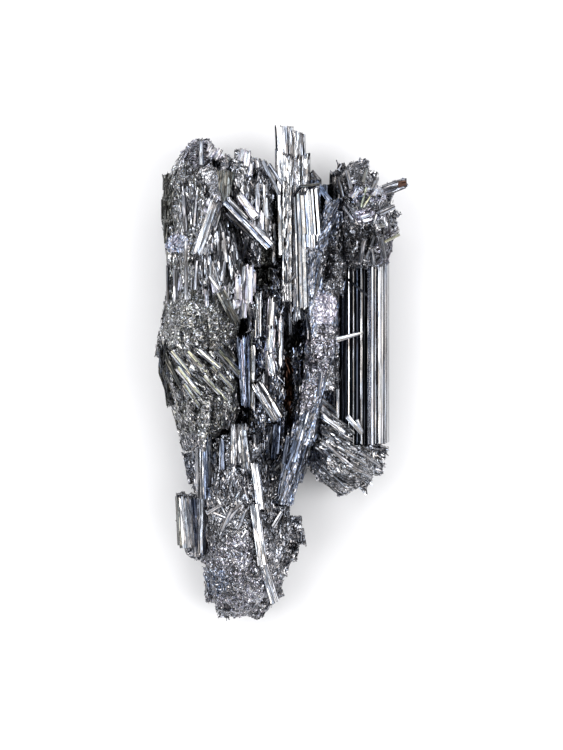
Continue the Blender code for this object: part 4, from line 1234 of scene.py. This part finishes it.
class STIBNITE_OT_lower_trunk(Maker, bpy.types.Operator):
    """Grow the long lower mass"""

    bl_idname = "stibnite.lower_trunk"
    bl_label = "Lower trunk"
    node = "lower_trunk"
    slot = "lead_grey"
    seed = 22
    patches = (
        Patch(-9.3, -36.7, 50, 70, lean=8, mess=0.35, length=1.3, width=0.3, grain=(0.18, 1.0),
              tone=(0.04, 0.75), ground=(0.5, 0.9)),
        Patch(-17.1, -19.6, 2.6, 8.0, mess=0.06, length=3.6, width=0.36, grain=(0.2, 3.0), tone=(0.1, 1.0),
              ground=(0.85, 1.0), tints="white blue steel", rough=0.85),
        Patch(-17.9, -33.4, 1.6, 6.5, lean=-3, mess=0.1, length=4.0, width=0.42, grain=(0.23, 2.4),
              tone=(0.08, 0.95), ground=(0.6, 1.0), tints="white steel", cover=1.6),
        Patch(-11.6, -22.4, 4.6, 8.0, lean=3, width=0.3, grain=(0.18, 1.2), tone=(0.05, 0.85),
              ground=(0.45, 0.9)),
        Patch(-13.3, -45.5, 4.6, 5.0, mess=0.9, length=0.8, width=0.3, tone=(0.05, 0.7), ground=(0.4, 0.75),
              tints="steel blue"),
        Patch(-6.7, -48.2, 3.4, 3.4, mess=0.9, length=0.8, width=0.3, tone=(0.3, 1.0), tints="lilac white"),
        Patch(-4.5, -41.1, 3.4, 6.0, slant=-10, lean=-12, mess=0.5, length=1.0, width=0.3, tone=(0.1, 0.9),
              ground=(0.6, 1.0)),
        Patch(-8.5, -42.5, 3.0, 5.0, mess=0.7, length=0.8, width=0.3, tone=(0.2, 1.0), ground=(0.8, 1.0),
              tints="lilac white steel"),
        Patch(-9.8, -44.4, 8.5, 9.0, lean=20, mess=0.7, length=0.9, width=0.28, tone=(0.04, 0.8),
              ground=(0.45, 0.85), tints="steel lilac steel", cover=1.4),
        Patch(-11.6, -31.2, 5.0, 5.0, lean=35, mess=0.6, length=2.4, tone=(0.05, 0.95), tints="steel white",
              cover=1.6),
    )

    def grow(self, growth):
        growth.ground()
        growth.crust()
        growth.lay_all(
            (-17.9, -39.4, -17.7, -27.3, 1.6, 0.75), (-15.1, -30.6, -12.0, -31.9, 0.6, 0.9),
            (-14.2, -27.9, -12.0, -32.3, 0.7, 0.8), (-11.1, -29.7, -13.3, -34.5, 1.2, 0.9),
            (-9.3, -29.0, -12.4, -31.9, 0.7, 0.9), (-6.7, -27.9, -8.0, -31.0, 0.7, 0.7),
            (-7.2, -21.3, -7.8, -17.4, 1.0, 0.6), (-16.4, -30.8, -13.3, -29.0, 0.9, 0.9),
            (-13.1, -34.1, -9.8, -29.7, 0.9, 0.85), (-7.8, -30.1, -9.8, -34.5, 0.9, 0.8),
            (-2.3, -33.9, -0.3, -30.6, 1.2, 0.6),
            tint="white steel", lift=0.6,
        )
        growth.plates(
            STREAK_BANDS,
            (-10.2, -20.0, -10.4, -11.9, 2.6), (-8.0, -20.9, -8.7, -11.9, 1.9),
            lift=0.5, fat=0.6, ragged=0.9, broken=0.9,
        )
        growth.lay_all(
            (-13.3, -21.3, -13.3, -14.7, 1.6, 0.4, "steel blue"),
            (-6.5, -23.1, -7.4, -16.9, 1.3, 0.5, "steel"),
            lift=0.3,
        )
        column = growth.ribs(BROAD_CREST, COLUMN_BANDS)
        growth.prisms(
            ((-17.2, -26.6, 17.0), (-17.3, -12.8, 21.4), 3.5, 7.0, -8),
            ((-18.0, -39.4, 13.6), (-17.7, -27.4, 15.8), 2.4, 6.0, -10),
            profile=column, ragged=0.5,
        )


class STIBNITE_OT_right_crown(Maker, bpy.types.Operator):
    """Grow the grainy crown over the top of the big prism"""

    bl_idname = "stibnite.right_crown"
    bl_label = "Right crown"
    node = "right_crown"
    slot = "lead_grey"
    seed = 23
    patches = (
        Patch(18.1, 35.9, 30, 40, lean=15, mess=0.6, length=1.3, width=0.32, tone=(0.05, 0.9), cover=1.6),
        Patch(16.6, 29.3, 4.6, 4.0, mess=0.8, length=1.4, width=0.28, tone=(0.04, 0.9), ground=(0.08, 0.4),
              cover=2.0),
        Patch(14.8, 43.3, 3.0, 2.6, mess=0.5, tone=(0.05, 0.7), ground=(0.3, 0.6)),
        Patch(22.3, 27.9, 2.2, 4.0, mess=0.5, tone=(0.05, 0.8), ground=(0.4, 0.8), tints="steel lilac"),
        Patch(16.2, 39.4, 1.6, 1.9, lean=30, mess=0.2, length=1.4, width=0.7, tone=(0.4, 0.8),
              ground=(0.75, 0.9), tints="lilac blue", rough=0.45, cover=0.8),
        Patch(18.4, 34.5, 2.8, 1.5, lean=70, mess=0.2, length=1.4, width=0.7, tone=(0.4, 0.8),
              ground=(0.75, 0.9), tints="lilac", rough=0.45, cover=0.8),
        Patch(20.8, 39.6, 2.0, 2.4, mess=1, length=0.8, width=0.28, tone=(0.5, 1.0), ground=(0.95, 1.0),
              tints="white lilac", rough=0.6, cover=1.6),
        Patch(12.9, 37.0, 2.6, 6.0, lean=20, mess=0.4, length=1.2, width=0.28, tone=(0.04, 0.8),
              ground=(0.3, 0.7), cover=1.6),
    )

    def grow(self, growth):
        growth.ground()
        growth.crust()
        growth.lay_all(
            (17.3, 36.3, 18.4, 40.7, 0.7, 0.95, "straw"), (17.7, 36.3, 19.5, 39.2, 0.7, 0.95, "straw"),
            (21.9, 28.6, 25.6, 30.4, 0.8, 0.9, "straw"), (10.9, 30.1, 12.7, 31.2, 0.6, 0.9, "straw"),
            (13.5, 36.5, 15.3, 33.7, 0.8, 0.75, "steel white"),
            (14.4, 37.0, 16.2, 34.3, 0.6, 0.85, "steel white"),
            (22.1, 40.5, 26.3, 42.0, 1.7, 0.75, "steel white"),
            (22.6, 39.6, 26.7, 41.1, 1.5, 0.45, "steel"), (25.4, 41.4, 26.9, 41.8, 1.7, 0.4, "rust"),
            (20.1, 30.1, 18.4, 25.3, 1.1, 0.4, "steel"), (13.3, 38.5, 12.4, 42.5, 1.5, 0.45, "steel"),
            (15.1, 40.3, 14.2, 44.2, 1.3, 0.55, "steel"), (17.5, 41.6, 18.4, 44.7, 1.2, 0.4, "olive"),
            (19.7, 40.3, 20.8, 42.7, 1.2, 0.5, "steel"), (21.2, 35.0, 24.3, 36.5, 1.4, 0.55, "steel"),
            (20.8, 32.1, 24.1, 33.0, 1.2, 0.45, "olive"), (15.3, 31.0, 13.1, 27.1, 1.2, 0.5, "steel"),
            (17.9, 29.3, 17.1, 24.4, 1.4, 0.4, "steel"), (21.4, 30.1, 22.3, 25.3, 1.6, 0.5, "steel"),
            (19.5, 27.5, 19.9, 24.2, 1.2, 0.6, "steel white"),
            (19.7, 32.3, 20.6, 35.0, 0.8, 0.7, "steel white"), (15.7, 27.1, 14.8, 25.3, 0.6, 1.0, "white"),
            (16.4, 27.9, 15.3, 26.6, 0.5, 0.9, "white"),
            lift=0.8,
        )
        growth.plates(
            PALE_BANDS,
            (15.5, 38.5, 16.4, 40.0, 1.3), (17.3, 34.1, 19.0, 34.8, 1.0), (17.9, 33.4, 19.5, 33.9, 0.8),
            (19.9, 38.7, 20.8, 40.5, 1.4), (21.2, 38.9, 21.9, 40.3, 1.2), (14.6, 41.6, 16.2, 42.2, 0.8),
            (12.2, 35.0, 13.5, 37.0, 0.9), (22.8, 32.3, 22.3, 35.0, 0.8),
            lift=0.6, fat=0.5, ragged=0.6,
        )


class STIBNITE_OT_right_foot(Maker, bpy.types.Operator):
    """Grow the fibrous mass under the big prism"""

    bl_idname = "stibnite.right_foot"
    bl_label = "Right foot"
    node = "right_foot"
    slot = "lead_grey"
    seed = 24
    patches = (
        Patch(13.8, -20.2, 30, 30, lean=128, mess=0.12, length=1.8, width=0.32, grain=(0.2, 2.4),
              tone=(0.05, 1.0), tints="steel white", cover=1.4),
        Patch(11.8, -10.3, 4.5, 4.5, lean=128, mess=0.12, length=3.6, width=0.42, grain=(0.23, 3.0),
              tone=(0.1, 1.0), tints="white steel", cover=1.6),
    )

    def grow(self, growth):
        growth.ground()
        growth.crust()
        growth.plates(
            STREAK_BANDS,
            (7.4, -5.3, 15.3, -11.7, 1.5), (8.0, -7.5, 16.2, -13.9, 1.5), (8.7, -9.5, 13.8, -13.2, 1.1),
            (14.2, -9.5, 17.3, -13.2, 1.1), (16.4, -10.3, 17.5, -13.0, 0.8),
            lift=0.9, broken=0.4,
        )
        growth.lay_all(
            (6.5, -14.7, 10.4, -18.3, 1.0, 0.6), (10.0, -16.1, 15.3, -20.5, 1.1, 0.8),
            (12.2, -16.1, 18.4, -20.0, 1.1, 0.5), (14.0, -20.0, 19.7, -23.1, 1.0, 0.7),
            (8.7, -20.5, 13.5, -24.9, 1.1, 0.6), (17.1, -17.4, 21.4, -20.5, 1.0, 0.8),
            tint="white steel", lift=0.6,
        )


# ---- stage --------------------------------------------------------------------------------------

TABLE_SIDES = 64
TABLE_GREY = (0.64, 0.64, 0.65)
COVE = 0.5  # radius of the bend between the table and the backdrop


def softbox(name, place, size, power):
    """An area light that faces the cluster."""
    light = bpy.data.lights.new(name, "AREA")
    light.shape = "RECTANGLE"
    light.size, light.size_y = size
    light.energy = power
    lamp = bpy.data.objects.new(name, light)
    lamp.location = place
    lamp.rotation_mode = "QUATERNION"
    lamp.rotation_quaternion = (-Vector(place)).to_track_quat("-Z", "Y")
    bpy.context.scene.collection.objects.link(lamp)
    return lamp


class STIBNITE_OT_stage(bpy.types.Operator):
    """Set the table, the soft lights and the camera above"""

    bl_idname = "stibnite.stage"
    bl_label = "Stage"
    bl_options = {"REGISTER", "UNDO"}

    def execute(self, context):
        values = context.scene.stibnite_stage
        shader = Shader("table")
        paper = shader.surface({"Base Color": (*TABLE_GREY, 1), "Roughness": 0.6})
        rings = [(values.floor_radius, 0.0)]
        for turn in np.linspace(0, pi / 2, 9)[1:]:
            rings.append((values.floor_radius + COVE * np.sin(turn), COVE * (1 - np.cos(turn))))
        rings.append((values.floor_radius + COVE, values.rim_height))
        mesh = bmesh.new()
        rows = []
        for radius, height in rings:
            angles = np.arange(TABLE_SIDES) * tau / TABLE_SIDES
            rows.append([mesh.verts.new((radius * np.cos(a), radius * np.sin(a), height)) for a in angles])
        mesh.faces.new(rows[0])
        for low, high in zip(rows, rows[1:]):
            for i in range(TABLE_SIDES):
                after = (i + 1) % TABLE_SIDES
                mesh.faces.new((low[i], low[after], high[after], high[i])).smooth = True
        data = bpy.data.meshes.new("table")
        mesh.to_mesh(data)
        mesh.free()
        data.materials.append(paper)
        table = bpy.data.objects.new("table", data)
        context.scene.collection.objects.link(table)
        softbox("left_softbox", (-0.9, 0.15, 1.0), (0.9, 1.3), values.side_power)
        softbox("right_softbox", (0.9, -0.15, 1.0), (0.9, 1.3), values.side_power)
        softbox("head_softbox", (0.1, 1.0, 1.0), (1.2, 0.5), values.end_power)
        softbox("foot_softbox", (-0.1, -1.1, 0.9), (1.0, 0.4), values.end_power * 0.6)
        world = bpy.data.worlds.new("room")
        world.use_nodes = True
        world.node_tree.nodes["Background"].inputs["Color"].default_value = (1, 1, 1, 1)
        world.node_tree.nodes["Background"].inputs["Strength"].default_value = values.room
        context.scene.world = world
        context.scene.view_settings.view_transform = "Standard"
        lens = bpy.data.cameras.new("camera")
        lens.lens = values.focal_length
        camera = bpy.data.objects.new("camera", lens)
        camera.location = (-0.00022, -0.00044, values.camera_height)
        context.scene.collection.objects.link(camera)
        context.scene.camera = camera
        return {"FINISHED"}


class STIBNITE_PT_panel(bpy.types.Panel):
    """Lists the steps of the spray in the order they are made"""

    bl_idname = "STIBNITE_PT_panel"
    bl_label = "Stibnite spray"
    bl_space_type = "VIEW_3D"
    bl_region_type = "UI"
    bl_category = "Stibnite"

    def draw(self, context):
        for group, kind in SETTINGS.items():
            box = self.layout.box()
            for name in kind.__annotations__:
                box.prop(getattr(context.scene, group), name)
        for step in STEPS:
            self.layout.operator(step.bl_idname)


STEPS = (
    STIBNITE_OT_stage,
    STIBNITE_OT_centre_spear,
    STIBNITE_OT_front_prism,
    STIBNITE_OT_right_prism,
    STIBNITE_OT_blue_prism,
    STIBNITE_OT_cross_lath,
    STIBNITE_OT_lower_lath,
    STIBNITE_OT_foot_stub,
    STIBNITE_OT_diagonal_blade,
    STIBNITE_OT_left_bundle,
    STIBNITE_OT_upper_columns,
    STIBNITE_OT_centre_columns,
    STIBNITE_OT_lower_trunk,
    STIBNITE_OT_right_crown,
    STIBNITE_OT_right_foot,
)
SETTINGS = {
    "stibnite_tints": StibniteTints,
    "stibnite_lustre": StibniteLustre,
    "stibnite_stage": StibniteStage,
}


def register():
    for name, kind in SETTINGS.items():
        bpy.utils.register_class(kind)
        setattr(bpy.types.Scene, name, bpy.props.PointerProperty(type=kind))
    for kind in (*STEPS, STIBNITE_PT_panel):
        bpy.utils.register_class(kind)


def unregister():
    for kind in (STIBNITE_PT_panel, *reversed(STEPS)):
        bpy.utils.unregister_class(kind)
    for name, kind in SETTINGS.items():
        delattr(bpy.types.Scene, name)
        bpy.utils.unregister_class(kind)


def main():
    """Make the stage and every growth."""
    register()
    for step in STEPS:
        family, name = step.bl_idname.split(".")
        getattr(getattr(bpy.ops, family), name)()


if __name__ == "__main__":
    main()
